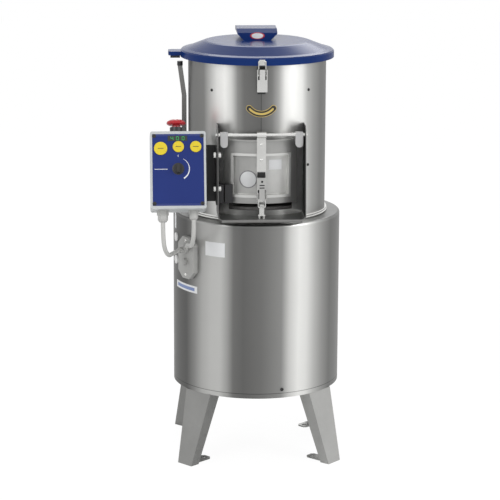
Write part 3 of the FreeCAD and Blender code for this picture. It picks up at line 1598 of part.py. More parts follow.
def make_side_plugs():
    plugs = []
    for level in ("plug_high", "plug_low"):
        disc = radial("plug_radius", "base_radius - 4", "base_radius + plug_wall", "plug_angle", level)
        behind = cylinder("base_radius + 0.05", 60, 0, 0, level + " - 30")
        plugs.append(cut(disc, behind))
    node(group(*plugs), "side_plugs")


def mains_gland():
    nut = radial("mains_radius", "base_radius - 4", "base_radius + mains_long", "mains_angle", "mains_level")
    bore = radial("mains_radius - 6", "base_radius - 6", "base_radius + mains_long + 2", "mains_angle", "mains_level")
    behind = cylinder("base_radius + 0.05", 60, 0, 0, "mains_level - 30")
    return cut(cut(nut, behind), bore)


make_base_shell()
make_bottom_plate()
for leg_name, leg_turn in LEG_TURNS.items():
    make_leg(leg_name, leg_turn)
make_frame_bolts()
make_drum_shell()
make_foot_ring()
make_lining()
make_disc()
make_drive_shaft()
make_bearing_housing()
make_bearings()
make_shaft_seal()
make_driven_pulley()
make_motor()
make_motor_shaft()
make_motor_pulley()
make_drive_belt()
make_drain_pipe()
make_water_inlet()
make_chute_guard()
make_hinge_pins()
make_door_panel()
make_door_lugs()
make_door_strap()
make_door_magnet()
make_door_sensor()
make_door_keeper()
latch_base("lid_latch_base", on_drum)
latch_lever("lid_latch_lever", on_drum, False)
latch_bail("lid_latch_bail", on_drum)
latch_base("door_latch_base", on_door)
latch_lever("door_latch_lever", on_door, True)
latch_bail("door_latch_bail", on_door)
make_lid_cover()
make_lid_handle()
make_lid_seal()
make_lid_catch()
make_lid_magnet()
make_lid_hinge()
make_interlock_arm()
make_bracket()
make_box_base()
make_box_cover()
make_control_panel()
make_buttons()
make_knob()
make_stop_button()
make_glands()
make_cable_housing()
make_cables()
make_side_plugs()

doc.recompute()

failed = []
for thing in doc.Objects:
    if "Invalid" in thing.State or "Error" in thing.State:
        owner = thing.getParentGeoFeatureGroup()
        failed.append("%s in %s" % (thing.Name, owner.Label if owner else "the document"))
if failed:
    raise RuntimeError("failed: " + ", ".join(failed))
for piece in nodes:
    if piece.Shape.isNull() or not piece.Shape.isValid() or not piece.Shape.Solids:
        raise RuntimeError(piece.Label + " has no valid solid")

os.makedirs("parts", exist_ok=True)
for piece in nodes:
    piece.Shape.exportStep("parts/" + piece.Label + ".step")
    print(piece.Label, len(piece.Shape.Solids), round(piece.Shape.Volume))
print(len(nodes), "sub-parts")
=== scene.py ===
"""Looks of a free-standing electric potato peeler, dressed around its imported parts."""
import math
import bmesh
import bpy
from mathutils import Matrix, Vector


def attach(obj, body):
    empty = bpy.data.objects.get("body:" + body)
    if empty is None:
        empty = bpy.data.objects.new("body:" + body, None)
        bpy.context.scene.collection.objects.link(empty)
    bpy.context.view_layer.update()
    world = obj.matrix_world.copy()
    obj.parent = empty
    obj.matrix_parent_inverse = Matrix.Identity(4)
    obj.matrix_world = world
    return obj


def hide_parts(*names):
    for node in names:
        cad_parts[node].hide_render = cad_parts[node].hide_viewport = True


bl_info = {
    "name": "Potato peeler dressing",
    "version": (1, 0, 0),
    "blender": (4, 5, 0),
    "location": "3D View > Sidebar > Peeler",
    "description": "Finishes, fittings and stage for a drum potato peeler",
    "category": "Object",
}

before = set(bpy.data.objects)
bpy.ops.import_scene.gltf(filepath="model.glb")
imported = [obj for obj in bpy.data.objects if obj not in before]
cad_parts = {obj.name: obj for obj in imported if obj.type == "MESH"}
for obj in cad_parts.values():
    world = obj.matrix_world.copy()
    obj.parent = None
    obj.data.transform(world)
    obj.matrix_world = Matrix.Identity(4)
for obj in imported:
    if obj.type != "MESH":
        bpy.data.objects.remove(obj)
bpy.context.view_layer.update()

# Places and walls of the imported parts, in metres
BOX_MIDDLE = Vector((-0.189, -0.208, 0.708))
BOX_TILT = math.radians(19.0)
SHEET = 0.002
DOOR_GAP = 0.0023
PAN_DEPTH = 0.012
PAN_REACH = 0.064
PAN_LOW = 0.638
PAN_HIGH = 0.732
STRAP = 0.003
LIFT = 0.0001
DECK_HEIGHT = 0.5745


# Sizes and colours

class PeelerSizes(bpy.types.PropertyGroup):
    """Sizes of the fittings added to the peeler"""
    drum_radius: bpy.props.FloatProperty(
        name="Drum radius", description="Outside radius of the drum", default=0.160, unit="LENGTH")
    base_radius: bpy.props.FloatProperty(
        name="Casing radius", description="Outside radius of the base casing",
        default=0.1955, unit="LENGTH")
    hem_height: bpy.props.FloatProperty(
        name="Hem height", description="Height of the hem line of the casing",
        default=0.178, unit="LENGTH")
    screw_radius: bpy.props.FloatProperty(
        name="Lining screw radius", description="Head radius of the lining screws",
        default=0.0034, unit="LENGTH")
    badge_radius: bpy.props.FloatProperty(
        name="Badge arc radius", description="Radius of the curved plate on the drum",
        default=0.036, unit="LENGTH")
    badge_height: bpy.props.FloatProperty(
        name="Badge arc height", description="Height of the arc's middle",
        default=0.8615, unit="LENGTH")
    cable_diameter: bpy.props.FloatProperty(
        name="Cable diameter", description="Diameter of the two grey cables",
        default=0.010, unit="LENGTH")
    scale_radius: bpy.props.FloatProperty(
        name="Dial scale radius", description="Radius of the white scale by the knob",
        default=0.025, unit="LENGTH")
    plate_thickness: bpy.props.FloatProperty(
        name="Plate thickness", description="Thickness of the blank plates",
        default=0.0004, unit="LENGTH")


class PeelerColours(bpy.types.PropertyGroup):
    """Colours of the peeler's finishes"""
    steel: bpy.props.FloatVectorProperty(
        name="Stainless steel", description="Tone of the sheet steel", default=(0.60, 0.60, 0.585),
        size=3, subtype="COLOR", min=0.0, max=1.0)
    lid: bpy.props.FloatVectorProperty(
        name="Lid", description="Colour of the moulded lid", default=(0.006, 0.029, 0.150),
        size=3, subtype="COLOR", min=0.0, max=1.0)
    panel: bpy.props.FloatVectorProperty(
        name="Panel", description="Colour of the front film", default=(0.016, 0.034, 0.185),
        size=3, subtype="COLOR", min=0.0, max=1.0)
    buttons: bpy.props.FloatVectorProperty(
        name="Push buttons", description="Colour of the push buttons", default=(0.80, 0.62, 0.02),
        size=3, subtype="COLOR", min=0.0, max=1.0)
    stop: bpy.props.FloatVectorProperty(
        name="Stop button", description="Colour of the stop button", default=(0.52, 0.012, 0.022),
        size=3, subtype="COLOR", min=0.0, max=1.0)
    enclosure: bpy.props.FloatVectorProperty(
        name="Enclosure", description="Colour of the control box", default=(0.56, 0.58, 0.585),
        size=3, subtype="COLOR", min=0.0, max=1.0)
    glands: bpy.props.FloatVectorProperty(
        name="Glands and cables", description="Grey of the glands and cables",
        default=(0.49, 0.49, 0.475),
        size=3, subtype="COLOR", min=0.0, max=1.0)
    badge: bpy.props.FloatVectorProperty(
        name="Badge", description="Colour of the curved plate", default=(0.62, 0.46, 0.12),
        size=3, subtype="COLOR", min=0.0, max=1.0)


# Shader arithmetic

class Wire:
    """A socket of a material whose arithmetic adds the matching Math nodes"""

    def __init__(self, finish, socket):
        self.finish = finish
        self.socket = socket

    def math(self, operation, *others):
        return self.finish.add("ShaderNodeMath", {"operation": operation}, [self, *others])

    def __add__(self, other):
        return self.math("ADD", other)

    def __radd__(self, other):
        return self.math("ADD", other)

    def __sub__(self, other):
        return self.math("SUBTRACT", other)

    def __rsub__(self, other):
        return self.finish.add("ShaderNodeMath", {"operation": "SUBTRACT"}, [other, self])

    def __mul__(self, other):
        return self.math("MULTIPLY", other)

    def __rmul__(self, other):
        return self.math("MULTIPLY", other)

    def __truediv__(self, other):
        return self.math("DIVIDE", other)

    def __abs__(self):
        return self.math("ABSOLUTE")

    def below(self, limit):
        return self.math("LESS_THAN", limit)

    def above(self, limit):
        return self.math("GREATER_THAN", limit)


class Finish:
    """A material with one shader, built from expressions on its sockets"""

    def __init__(self, name, colour, rough, metal=0.0, coat=0.0):
        self.material = bpy.data.materials.new(name)
        self.material.use_nodes = True
        self.tree = self.material.node_tree
        self.shader = self.tree.nodes["Principled BSDF"]
        self.set("Base Color", (*colour, 1.0))
        self.set("Roughness", rough)
        self.set("Metallic", metal)
        self.set("Coat Weight", coat)
        self.shader.inputs["Coat Roughness"].default_value = 0.06
        self.material.diffuse_color = (*colour, 1.0)

    def set(self, socket, value):
        if isinstance(value, Wire):
            self.tree.links.new(value.socket, self.shader.inputs[socket])
        else:
            self.shader.inputs[socket].default_value = value

    def add(self, kind, settings, inputs, output=0):
        """Add one node: its settings first, then the values or links of its sockets."""
        node = self.tree.nodes.new(kind)
        stops = settings.pop("stops", None)
        for name, value in settings.items():
            setattr(node, name, value)
        if stops:
            ramp = node.color_ramp
            while len(ramp.elements) < len(stops):
                ramp.elements.new(0.5)
            for element, (place, tone) in zip(ramp.elements, stops):
                element.position = place
                element.color = (tone, tone, tone, 1.0)
        pairs = inputs.items() if isinstance(inputs, dict) else enumerate(inputs)
        for key, value in pairs:
            if isinstance(value, Wire):
                self.tree.links.new(value.socket, node.inputs[key])
            else:
                node.inputs[key].default_value = value
        return Wire(self, node.outputs[output])

    def place(self):
        return self.add("ShaderNodeTexCoord", {}, [], "Object")

    def axes(self):
        split = self.add("ShaderNodeSeparateXYZ", {}, [self.place()])
        return [Wire(self, split.socket.node.outputs[index]) for index in range(3)]

    def join(self, x, y, z):
        return self.add("ShaderNodeCombineXYZ", {}, [x, y, z])

    def noise(self, where, scale, detail=2.0, rough=0.5):
        inputs = {"Vector": where, "Scale": scale, "Detail": detail, "Roughness": rough}
        return self.add("ShaderNodeTexNoise", {}, inputs, 0)

    def blend(self, mask, first, second):
        """A colour between two colours."""
        node = self.tree.nodes.new("ShaderNodeMix")
        node.data_type = "RGBA"
        for key, value in ((0, mask), (6, first), (7, second)):
            if isinstance(value, Wire):
                self.tree.links.new(value.socket, node.inputs[key])
            elif key == 0:
                node.inputs[key].default_value = value
            else:
                node.inputs[key].default_value = (*value, 1.0)
        return Wire(self, node.outputs[2])

    def bump(self, height, strength, distance):
        inputs = {"Strength": strength, "Distance": distance, "Height": height}
        self.set("Normal", self.add("ShaderNodeBump", {}, inputs))


def scaled(colour, factor):
    return tuple(min(1.0, part * factor) for part in colour)


def grain_of(finish, x, y, z, along):
    """Fine brushed grain: long along one axis and short across it."""
    stretch = {"x": (14.0, 900.0, 900.0), "z": (900.0, 900.0, 14.0)}[along]
    where = finish.join(x * stretch[0], y * stretch[1], z * stretch[2])
    return finish.noise(where, 1.0, 3.0, 0.6)


def round_steel(name, colour, stops, dark_reflection=None, hem=None, soft=0.33):
    """Brushed sheet rolled round the upright axis, with long bands of painted reflection, and either a
    painted dark reflection down the drum's front or a hem line with painted shade on the casing's top.
    """
    finish = Finish(name, colour, soft, 0.82)
    x, y, z = finish.axes()
    turn = x.math("ARCTAN2", 0.0 - y) / (2 * math.pi) + 0.5
    sway = finish.noise(finish.join(x * 3.0, y * 3.0, z * 1.2), 1.6, 1.0) - 0.5
    # The tone ramp round the wall is painted reflection, running between black and a brightened tint
    tone = finish.add("ShaderNodeValToRGB", {"stops": stops}, [turn + sway * 0.012])
    brush = finish.noise(finish.join(turn * 70.0, z * 2200.0, 0.0), 1.0, 3.0, 0.65)
    cloud = finish.noise(finish.place(), 9.0, 3.0, 0.55)
    shade = 0.93 + brush * 0.10 + cloud * 0.04
    mark = 1.0
    if dark_reflection:
        low, high = dark_reflection
        # A dark vertical strip down the drum's front: painted reflection, not a weld seam
        line = abs(x + 0.0004).below(0.0009) * y.below(0.0) * z.above(low) * z.below(high)
        mark = 1.0 - line * 0.45
    if hem:
        # The hem line is a dark groove; the casing's top above DECK_HEIGHT is darkened as painted shade
        # under the drum and the chute guard
        mark = (1.0 - abs(z - hem).below(0.0008) * 0.55) * (1.0 - z.above(DECK_HEIGHT) * 0.45)
    painted_reflection = finish.blend(tone, (0.0, 0.0, 0.0), scaled(colour, 1.66))
    total = finish.add("ShaderNodeVectorMath", {"operation": "SCALE"}, {0: painted_reflection, "Scale": shade * mark})
    finish.set("Base Color", total)
    finish.set("Roughness", soft - 0.06 + brush * 0.14)
    finish.bump(brush, 0.10, 0.0004)
    return finish.material


def sheet_steel(name, colour, rough, along="z", wear=0.10, metal=0.85):
    """Flat brushed sheet with faint smears."""
    finish = Finish(name, colour, rough, metal)
    x, y, z = finish.axes()
    grain = grain_of(finish, x, y, z, along)
    smear = finish.noise(finish.place(), 14.0, 4.0, 0.6)
    worn = scaled(colour, 1.0 - wear * 2.2)
    clean = scaled(colour, 1.0 + wear)
    finish.set("Base Color", finish.blend(smear * 0.75 + grain * 0.25, worn, clean))
    finish.set("Roughness", rough - 0.07 + smear * 0.08 + grain * 0.08)
    finish.bump(grain, 0.12, 0.0003)
    return finish.material


def guard_steel(name, colour, rough, cheek, floor):
    """Folded sheet whose inner cheeks lie in deep shade and whose floor is smeared."""
    finish = Finish(name, colour, rough, 0.75)
    x, y, z = finish.axes()
    grain = grain_of(finish, x, y, z, "x")
    smear = finish.noise(finish.place(), 14.0, 4.0, 0.6)
    deep = abs(x).above(cheek) * abs(x).below(cheek + 0.0035) * z.above(floor)
    lit = finish.blend(smear * 0.75 + grain * 0.25, scaled(colour, 0.75), scaled(colour, 1.25))
    finish.set("Base Color", finish.blend(deep, lit, (0.010, 0.010, 0.011)))
    finish.set("Roughness", rough + deep * 0.25)
    finish.bump(grain, 0.12, 0.0003)
    return finish.material


def door_steel(name, colour, rough, reach, low, high):
    """Brushed door sheet darkened round the window as painted shade, with a painted highlight on the
    pressed rim and a brighter window pan whose painted sheen grows towards +X.
    """
    finish = Finish(name, colour, rough, 0.75)
    x, y, z = finish.axes()
    grain = grain_of(finish, x, y, z, "z")
    smear = finish.noise(finish.place(), 14.0, 4.0, 0.6)
    rim = abs(x).below(reach + 0.004) * z.above(low - 0.004) * z.below(high + 0.004)
    pan = abs(x).below(reach - 0.003) * z.above(low + 0.003) * z.below(high - 0.003)
    # Painted light: the plate outside the rim is darkened, the rim is lightened and the pan gets a painted
    # sheen that brightens towards +X
    plain = finish.blend(smear * 0.7 + grain * 0.3, scaled(colour, 0.52), scaled(colour, 0.78))
    rim_highlighted = finish.blend(rim, plain, scaled(colour, 1.12))
    sheen = smear * 0.5 + grain * 0.1 + x * 5.0 + 0.15
    pan_lit = finish.blend(sheen, scaled(colour, 0.50), scaled(colour, 1.30))
    finish.set("Base Color", finish.blend(pan, rim_highlighted, pan_lit))
    finish.set("Roughness", rough - 0.07 + smear * 0.08 + grain * 0.08)
    finish.bump(grain, 0.12, 0.0003)
    return finish.material


def box_moulding(name, colour, film, rough):
    """Moulded enclosure cover whose front carries a blue film that reaches nearly to its edges."""
    finish = Finish(name, colour, rough)
    x, y, z = finish.axes()
    across = x - BOX_MIDDLE.x
    back = y - BOX_MIDDLE.y
    up = z - BOX_MIDDLE.z
    depth = back * math.cos(BOX_TILT) - up * math.sin(BOX_TILT)
    level = back * math.sin(BOX_TILT) + up * math.cos(BOX_TILT)
    half_wide = 0.0578
    half_tall = 0.0812
    front = depth.below(0.0015) * abs(across).below(half_wide) * abs(level).below(half_tall)
    haze = finish.noise(finish.place(), 12.0, 3.0, 0.5)
    plain = finish.blend(haze, scaled(colour, 0.92), scaled(colour, 1.08))
    finish.set("Base Color", finish.blend(front, plain, film))
    finish.set("Roughness", rough - 0.04 + haze * 0.08)
    finish.bump(finish.noise(finish.place(), 900.0, 2.0, 0.5), 0.15, 0.0004)
    return finish.material


def moulding(name, colour, rough, coat=0.0, grain=0.0006, speck=900.0, shine=0.5):
    """Moulded plastic with a fine skin and slight variation."""
    finish = Finish(name, colour, rough, 0.0, coat)
    finish.set("Specular IOR Level", shine)
    skin = finish.noise(finish.place(), speck, 2.0, 0.5)
    haze = finish.noise(finish.place(), 12.0, 3.0, 0.5)
    finish.set("Base Color", finish.blend(haze, scaled(colour, 0.90), scaled(colour, 1.10)))
    finish.set("Roughness", rough - 0.04 + haze * 0.08)
    finish.bump(skin, 0.15, grain)
    return finish.material


def gritty(name, colour):
    """Abrasive coating of coarse grit."""
    finish = Finish(name, colour, 0.85)
    grit = finish.add("ShaderNodeTexVoronoi", {}, {"Vector": finish.place(), "Scale": 420.0}, 0)
    dust = finish.noise(finish.place(), 60.0, 4.0, 0.7)
    mottle = grit * 0.7 + dust * 0.3
    finish.set("Base Color", finish.blend(mottle, scaled(colour, 0.55), scaled(colour, 1.7)))
    finish.bump(grit, 0.8, 0.0010)
    return finish.material


def casting(name, colour):
    """Painted casting with a rough skin."""
    finish = Finish(name, colour, 0.55, 0.1)
    skin = finish.noise(finish.place(), 240.0, 4.0, 0.6)
    haze = finish.noise(finish.place(), 18.0, 3.0, 0.6)
    finish.set("Base Color", finish.blend(haze, scaled(colour, 0.8), scaled(colour, 1.15)))
    finish.bump(skin, 0.4, 0.0006)
    return finish.material


def glowing(name, colour, strength):
    finish = Finish(name, scaled(colour, 0.4), 0.4)
    haze = finish.noise(finish.place(), 300.0, 2.0, 0.5)
    finish.set("Base Color", finish.blend(haze, scaled(colour, 0.3), scaled(colour, 0.5)))
    finish.set("Emission Color", (*colour, 1.0))
    finish.shader.inputs["Emission Strength"].default_value = strength
    return finish.material


# Painted reflections: stops of the light and dark bands round the drum and the casing, standing in for the
# surroundings mirrored in the steel
DRUM_REFLECTION_BANDS = [
    (0.00, 0.30), (0.06, 0.22), (0.10, 0.50), (0.14, 0.30), (0.20, 0.20), (0.265, 0.07), (0.31, 0.22),
    (0.355, 0.27), (0.378, 0.62), (0.395, 0.88), (0.415, 1.00), (0.43, 0.74), (0.445, 0.30), (0.46, 0.18),
    (0.495, 0.15), (0.523, 0.24), (0.538, 0.42), (0.553, 0.80), (0.575, 1.00), (0.60, 0.96), (0.617, 0.60),
    (0.638, 0.42), (0.67, 0.25), (0.74, 0.16), (0.80, 0.22), (0.87, 0.46), (0.93, 0.24), (1.00, 0.30),
]
BASE_REFLECTION_BANDS = [
    (0.00, 0.28), (0.05, 0.22), (0.11, 0.44), (0.16, 0.28), (0.20, 0.22), (0.285, 0.12), (0.335, 0.12),
    (0.36, 0.28), (0.38, 0.46), (0.40, 0.54), (0.42, 0.54), (0.433, 0.38), (0.446, 0.17), (0.465, 0.14),
    (0.50, 0.18), (0.54, 0.28), (0.555, 0.60), (0.575, 0.84), (0.592, 0.78), (0.612, 0.52), (0.632, 0.35),
    (0.66, 0.19), (0.75, 0.20), (0.82, 0.24), (0.88, 0.42), (0.94, 0.24), (1.00, 0.28),
]


def make_finishes(colours, sizes):
    steel = tuple(colours.steel)
    grey = tuple(colours.glands)
    return {
        "drum": round_steel("drum_brushed", steel, DRUM_REFLECTION_BANDS, dark_reflection=(0.775, 0.936)),
        "base": round_steel("casing_brushed", steel, BASE_REFLECTION_BANDS, hem=sizes.hem_height, soft=0.36),
        "sheet": sheet_steel("sheet_brushed", scaled(steel, 0.40), 0.38),
        # The legs are one sheet in two copies: a darker one on the left legs as painted shade, a lighter
        # one on the right legs as painted light
        "leg": sheet_steel("leg_shaded_brushed", scaled(steel, 0.52), 0.42, "z", 0.12),
        "leg_lit": sheet_steel("leg_lit_brushed", scaled(steel, 0.78), 0.42, "z", 0.12),
        "guard": guard_steel("guard_brushed", scaled(steel, 0.34), 0.40, 0.0950, 0.596),
        "door": door_steel("door_brushed", steel, 0.40, PAN_REACH, PAN_LOW, PAN_HIGH),
        "bright": sheet_steel("bright_polished", scaled(steel, 1.32), 0.22, "z", 0.05),
        "shiny": sheet_steel("ring_polished", scaled(steel, 1.25), 0.16, "x", 0.06, 0.95),
        "turned": sheet_steel("turned_steel", scaled(steel, 0.9), 0.30, "x"),
        "dark_plate": sheet_steel("bracket_dark", (0.050, 0.050, 0.050), 0.45, "z", 0.10),
        "lid": moulding("lid_moulded", tuple(colours.lid), 0.22, 0.0, 0.0002, 300.0, 0.14),
        "panel": moulding("panel_film", tuple(colours.panel), 0.36, 0.0, 0.0001, 900.0, 0.22),
        "white": moulding("enclosure_moulded", tuple(colours.enclosure), 0.45),
        "box_front": box_moulding("enclosure_cover", tuple(colours.enclosure), tuple(colours.panel), 0.42),
        "grey": moulding("gland_moulded", grey, 0.48),
        "cable": moulding("cable_sheath", scaled(grey, 1.12), 0.50),
        "housing": moulding("housing_moulded", scaled(grey, 0.82), 0.48),
        "plug": moulding("plug_moulded", (0.78, 0.78, 0.77), 0.45),
        "lug": moulding("lug_moulded", (0.48, 0.48, 0.48), 0.42),
        "black": moulding("black_moulded", (0.018, 0.018, 0.020), 0.40),
        "rubber": moulding("black_rubber", (0.014, 0.014, 0.014), 0.70),
        "yellow": moulding("button_moulded", tuple(colours.buttons), 0.34, 0.2),
        "red": moulding("stop_moulded", tuple(colours.stop), 0.30, 0.3),
        "grit": gritty("abrasive_grit", (0.16, 0.155, 0.15)),
        "cast": casting("casting_painted", (0.20, 0.22, 0.24)),
        "label": moulding("blank_label", (0.80, 0.81, 0.82), 0.35, 0.1, 0.0001),
        "label_grey": moulding("blank_label_grey", (0.24, 0.24, 0.25), 0.38, 0.1, 0.0001),
        "label_blue": moulding("blank_strip", (0.20, 0.27, 0.50), 0.35, 0.1, 0.0001),
        "badge": moulding("badge_enamel", tuple(colours.badge), 0.28, 0.3, 0.0001),
        "print": moulding("white_print", (0.82, 0.83, 0.86), 0.45, 0.0, 0.0001),
        "screen": moulding("display_window", (0.004, 0.012, 0.010), 0.12, 0.6, 0.0001),
        "digit": glowing("display_digit", (0.02, 0.50, 0.12), 0.55),
    }


NODE_FINISH = {
    "drum": ["drum_shell"],
    "base": ["base_shell"],
    "sheet": ["bottom_plate", "drain_pipe", "lid_hinge_bracket", "lid_hinge_leaf", "interlock_arm"],
    "leg": ["leg_front_left", "leg_rear_left"],
    # leg and leg_lit are the same sheet as painted shade and painted light
    "leg_lit": ["leg_front_right", "leg_rear_right"],
    "guard": ["chute_guard"],
    "door": ["door_panel"],
    "bright": ["door_strap", "lid_latch_lever", "water_inlet", "hinge_pins", "frame_bolts", "lid_catch"],
    "shiny": ["drum_foot_ring", "lid_latch_bail", "door_latch_bail", "door_keeper"],
    "turned": ["drive_shaft", "shaft_bearings", "motor_shaft", "motor_pulley", "door_latch_lever"],
    "dark_plate": ["control_bracket", "lid_latch_base", "door_latch_base"],
    "lid": ["lid_cover", "lid_handle"],
    "panel": ["control_panel"],
    "white": ["box_base"],
    "box_front": ["box_cover"],
    "grey": ["cable_glands", "cable_left", "cable_right"],
    "housing": ["cable_housing"],
    "plug": ["side_plugs"],
    "lug": ["door_lugs"],
    "black": ["door_magnet", "door_sensor", "lid_magnet", "interlock_head", "timer_knob", "stop_collar"],
    "rubber": ["lid_seal", "shaft_seal", "drive_belt"],
    "yellow": ["button_left", "button_middle", "button_right"],
    "red": ["stop_button"],
    "grit": ["abrasive_liner", "abrasive_disc"],
    "cast": ["bearing_housing", "driven_pulley", "motor"],
}
FINISHES = {}


# Mesh helpers

def finish_piece(mesh_data, name, body, finish, smooth=True):
    """Turn a bmesh into a piece that rides on a body."""
    bmesh.ops.remove_doubles(mesh_data, verts=mesh_data.verts, dist=1e-6)
    bmesh.ops.recalc_face_normals(mesh_data, faces=mesh_data.faces)
    mesh = bpy.data.meshes.new(name)
    mesh_data.to_mesh(mesh)
    mesh_data.free()
    for face in mesh.polygons:
        face.use_smooth = smooth
    piece = bpy.data.objects.new(name, mesh)
    bpy.context.scene.collection.objects.link(piece)
    mesh.materials.append(FINISHES[finish])
    if smooth:
        mesh.set_sharp_from_angle(angle=math.radians(35))
    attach(piece, body)
    return piece


def box_seat(x, z, out=0.0):
    """Seat on the control box's front face: local X across, local Z up, outwards along -Y."""
    middle = Matrix.Translation(BOX_MIDDLE) @ Matrix.Rotation(-BOX_TILT, 4, "X")
    return middle @ Matrix.Translation((x, -0.0003 - out, z))


def drum_seat(angle, radius, height):
    """Seat on an upright round wall at an angle from the front."""
    turn = math.radians(angle)
    spot = Vector((radius * math.sin(turn), -radius * math.cos(turn), height))
    return Matrix.Translation(spot) @ Matrix.Rotation(turn, 4, "Z")


def disc_mesh(radius, thick, segments=40, edge=0.2):
    """A round plate that stands out along -Y from its seat, with a bevelled front edge."""
    shape = bmesh.new()
    bmesh.ops.create_circle(shape, cap_ends=True, segments=segments, radius=radius)
    upright = Matrix.Rotation(math.radians(90), 3, "X")
    bmesh.ops.rotate(shape, verts=shape.verts, cent=(0, 0, 0), matrix=upright)
    front = bmesh.ops.extrude_face_region(shape, geom=shape.faces[:])
    moved = [part for part in front["geom"] if isinstance(part, bmesh.types.BMVert)]
    bmesh.ops.translate(shape, verts=moved, vec=(0, -thick, 0))
    rim = [edge_ for edge_ in shape.edges if all(abs(vert.co.y + thick) < 1e-7 for vert in edge_.verts)]
    bmesh.ops.bevel(shape, geom=rim, offset=min(thick, radius) * edge, segments=2, profile=0.5,
                    affect="EDGES", material=-1)
    return shape


def plate_mesh(wide, tall, thick, corner=0.0):
    """A flat plate that stands out along -Y, with square or round corners."""
    shape = bmesh.new()
    bmesh.ops.create_cube(shape, size=1.0)
    bmesh.ops.scale(shape, verts=shape.verts, vec=(wide, thick, tall))
    bmesh.ops.translate(shape, verts=shape.verts, vec=(0, -thick / 2, 0))
    if corner:
        upright = [edge for edge in shape.edges
                   if abs(edge.verts[0].co.y - edge.verts[1].co.y) > thick * 0.9]
        bmesh.ops.bevel(shape, geom=upright, offset=corner, segments=6, profile=0.5,
                        affect="EDGES", material=-1)
    return shape


def wrap(shape, radius, angle=0.0, height=0.0, columns=0):
    """Bend a flat shape round an upright wall, its X along the wall and its -Y outwards."""
    reach = [vert.co.x for vert in shape.verts]
    for index in range(1, columns):
        cut_at = min(reach) + (max(reach) - min(reach)) * index / columns + 1e-5
        parts = shape.verts[:] + shape.edges[:] + shape.faces[:]
        bmesh.ops.bisect_plane(shape, geom=parts, plane_co=(cut_at, 0, 0), plane_no=(1, 0, 0))
    for vert in shape.verts:
        turn = math.radians(angle) + vert.co.x / radius
        away = radius - vert.co.y
        vert.co = Vector((away * math.sin(turn), -away * math.cos(turn), height + vert.co.z))


def seat_all(shape, seat):
    bmesh.ops.transform(shape, matrix=seat, verts=shape.verts)


def arc_mesh(radius, half_width, thick, start, end, steps=48, taper=0.0):
    """A flat band along an arc in the XZ plane, made by spinning its section."""
    shape = bmesh.new()
    begin = math.radians(start)
    way = Vector((math.sin(begin), 0, math.cos(begin)))
    corners = [
        shape.verts.new(way * (radius - half_width)),
        shape.verts.new(way * (radius + half_width)),
        shape.verts.new(way * (radius + half_width) + Vector((0, -thick, 0))),
        shape.verts.new(way * (radius - half_width) + Vector((0, -thick, 0))),
    ]
    section = shape.faces.new(corners)
    turn = math.radians(end - start)
    bmesh.ops.spin(shape, geom=[section], cent=(0, 0, 0), axis=(0, 1, 0), angle=turn, steps=steps)
    for vert in shape.verts:
        if taper:
            away = math.hypot(vert.co.x, vert.co.z)
            along = (math.atan2(vert.co.x, vert.co.z) - begin) % (2 * math.pi) / turn
            near = radius + (away - radius) * (1.0 - taper * (1.0 - min(along, 1.0)))
            vert.co.x *= near / away
            vert.co.z *= near / away
    return shape


def screw_mesh(radius, tall):
    """A domed screw head with a round recess."""
    shape = bmesh.new()
    points = [(0.45, 0.55), (0.5, 1.0), (0.8, 0.78), (0.97, 0.4), (1.0, 0.0)]
    verts = [shape.verts.new((0, -0.5 * tall, 0))]
    verts += [shape.verts.new((across * radius, -out * tall, 0)) for across, out in points]
    for first, second in zip(verts, verts[1:]):
        shape.edges.new((first, second))
    bmesh.ops.spin(shape, geom=shape.edges[:] + shape.verts[:], cent=(0, 0, 0), axis=(0, 1, 0),
                   angle=math.radians(360), steps=24, use_merge=True)
    bmesh.ops.remove_doubles(shape, verts=shape.verts, dist=1e-6)
    edges = [edge for edge in shape.edges if edge.is_boundary]
    bmesh.ops.holes_fill(shape, edges=edges)
    return shape


# Operators

class PEELER_OT_finishes(bpy.types.Operator):
    """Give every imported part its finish"""
    bl_idname = "peeler.finishes"
    bl_label = "Finishes"

    def execute(self, context):
        FINISHES.update(make_finishes(context.scene.peeler_colours, context.scene.peeler_sizes))
        for key, names in NODE_FINISH.items():
            for name in names:
                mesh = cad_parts[name].data
                mesh.materials.clear()
                mesh.materials.append(FINISHES[key])
        return {"FINISHED"}


class PEELER_OT_cables(bpy.types.Operator):
    """Run the two grey cables from the control box to the housing on the casing"""
    bl_idname = "peeler.cables"
    bl_label = "Cables"

    left_route = (
        (-0.2240, -0.2120, 0.5890), (-0.2240, -0.2230, 0.5571), (-0.2205, -0.2170, 0.5265),
        (-0.2110, -0.1900, 0.5060), (-0.2010, -0.1540, 0.5040), (-0.1857, -0.1276, 0.5050),
    )
    right_route = (
        (-0.1544, -0.2103, 0.5937), (-0.1544, -0.2184, 0.5701), (-0.1564, -0.2121, 0.5453),
        (-0.1598, -0.1926, 0.5279), (-0.1670, -0.1480, 0.5228), (-0.1688, -0.1330, 0.5142),
    )

    def cable(self, name, route, node, diameter, length):
        curve = bpy.data.curves.new(name, "CURVE")
        curve.dimensions = "3D"
        curve.bevel_depth = diameter / 2
        curve.bevel_resolution = 6
        curve.use_fill_caps = True
        spline = curve.splines.new("NURBS")
        spline.points.add(len(route) - 1)
        for point, spot in zip(spline.points, route):
            point.co = (*spot, 1.0)
        spline.order_u = 3
        spline.use_endpoint_u = True
        spline.resolution_u = 16
        piece = bpy.data.objects.new(name, curve)
        bpy.context.scene.collection.objects.link(piece)
        curve.materials.append(FINISHES["cable"])
        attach(piece, "frame")
        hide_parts(node)

    def execute(self, context):
        diameter = context.scene.peeler_sizes.cable_diameter
        self.cable("left_cable", self.left_route, "cable_left", diameter, 0.165)
        self.cable("right_cable", self.right_route, "cable_right", diameter, 0.137)
        return {"FINISHED"}


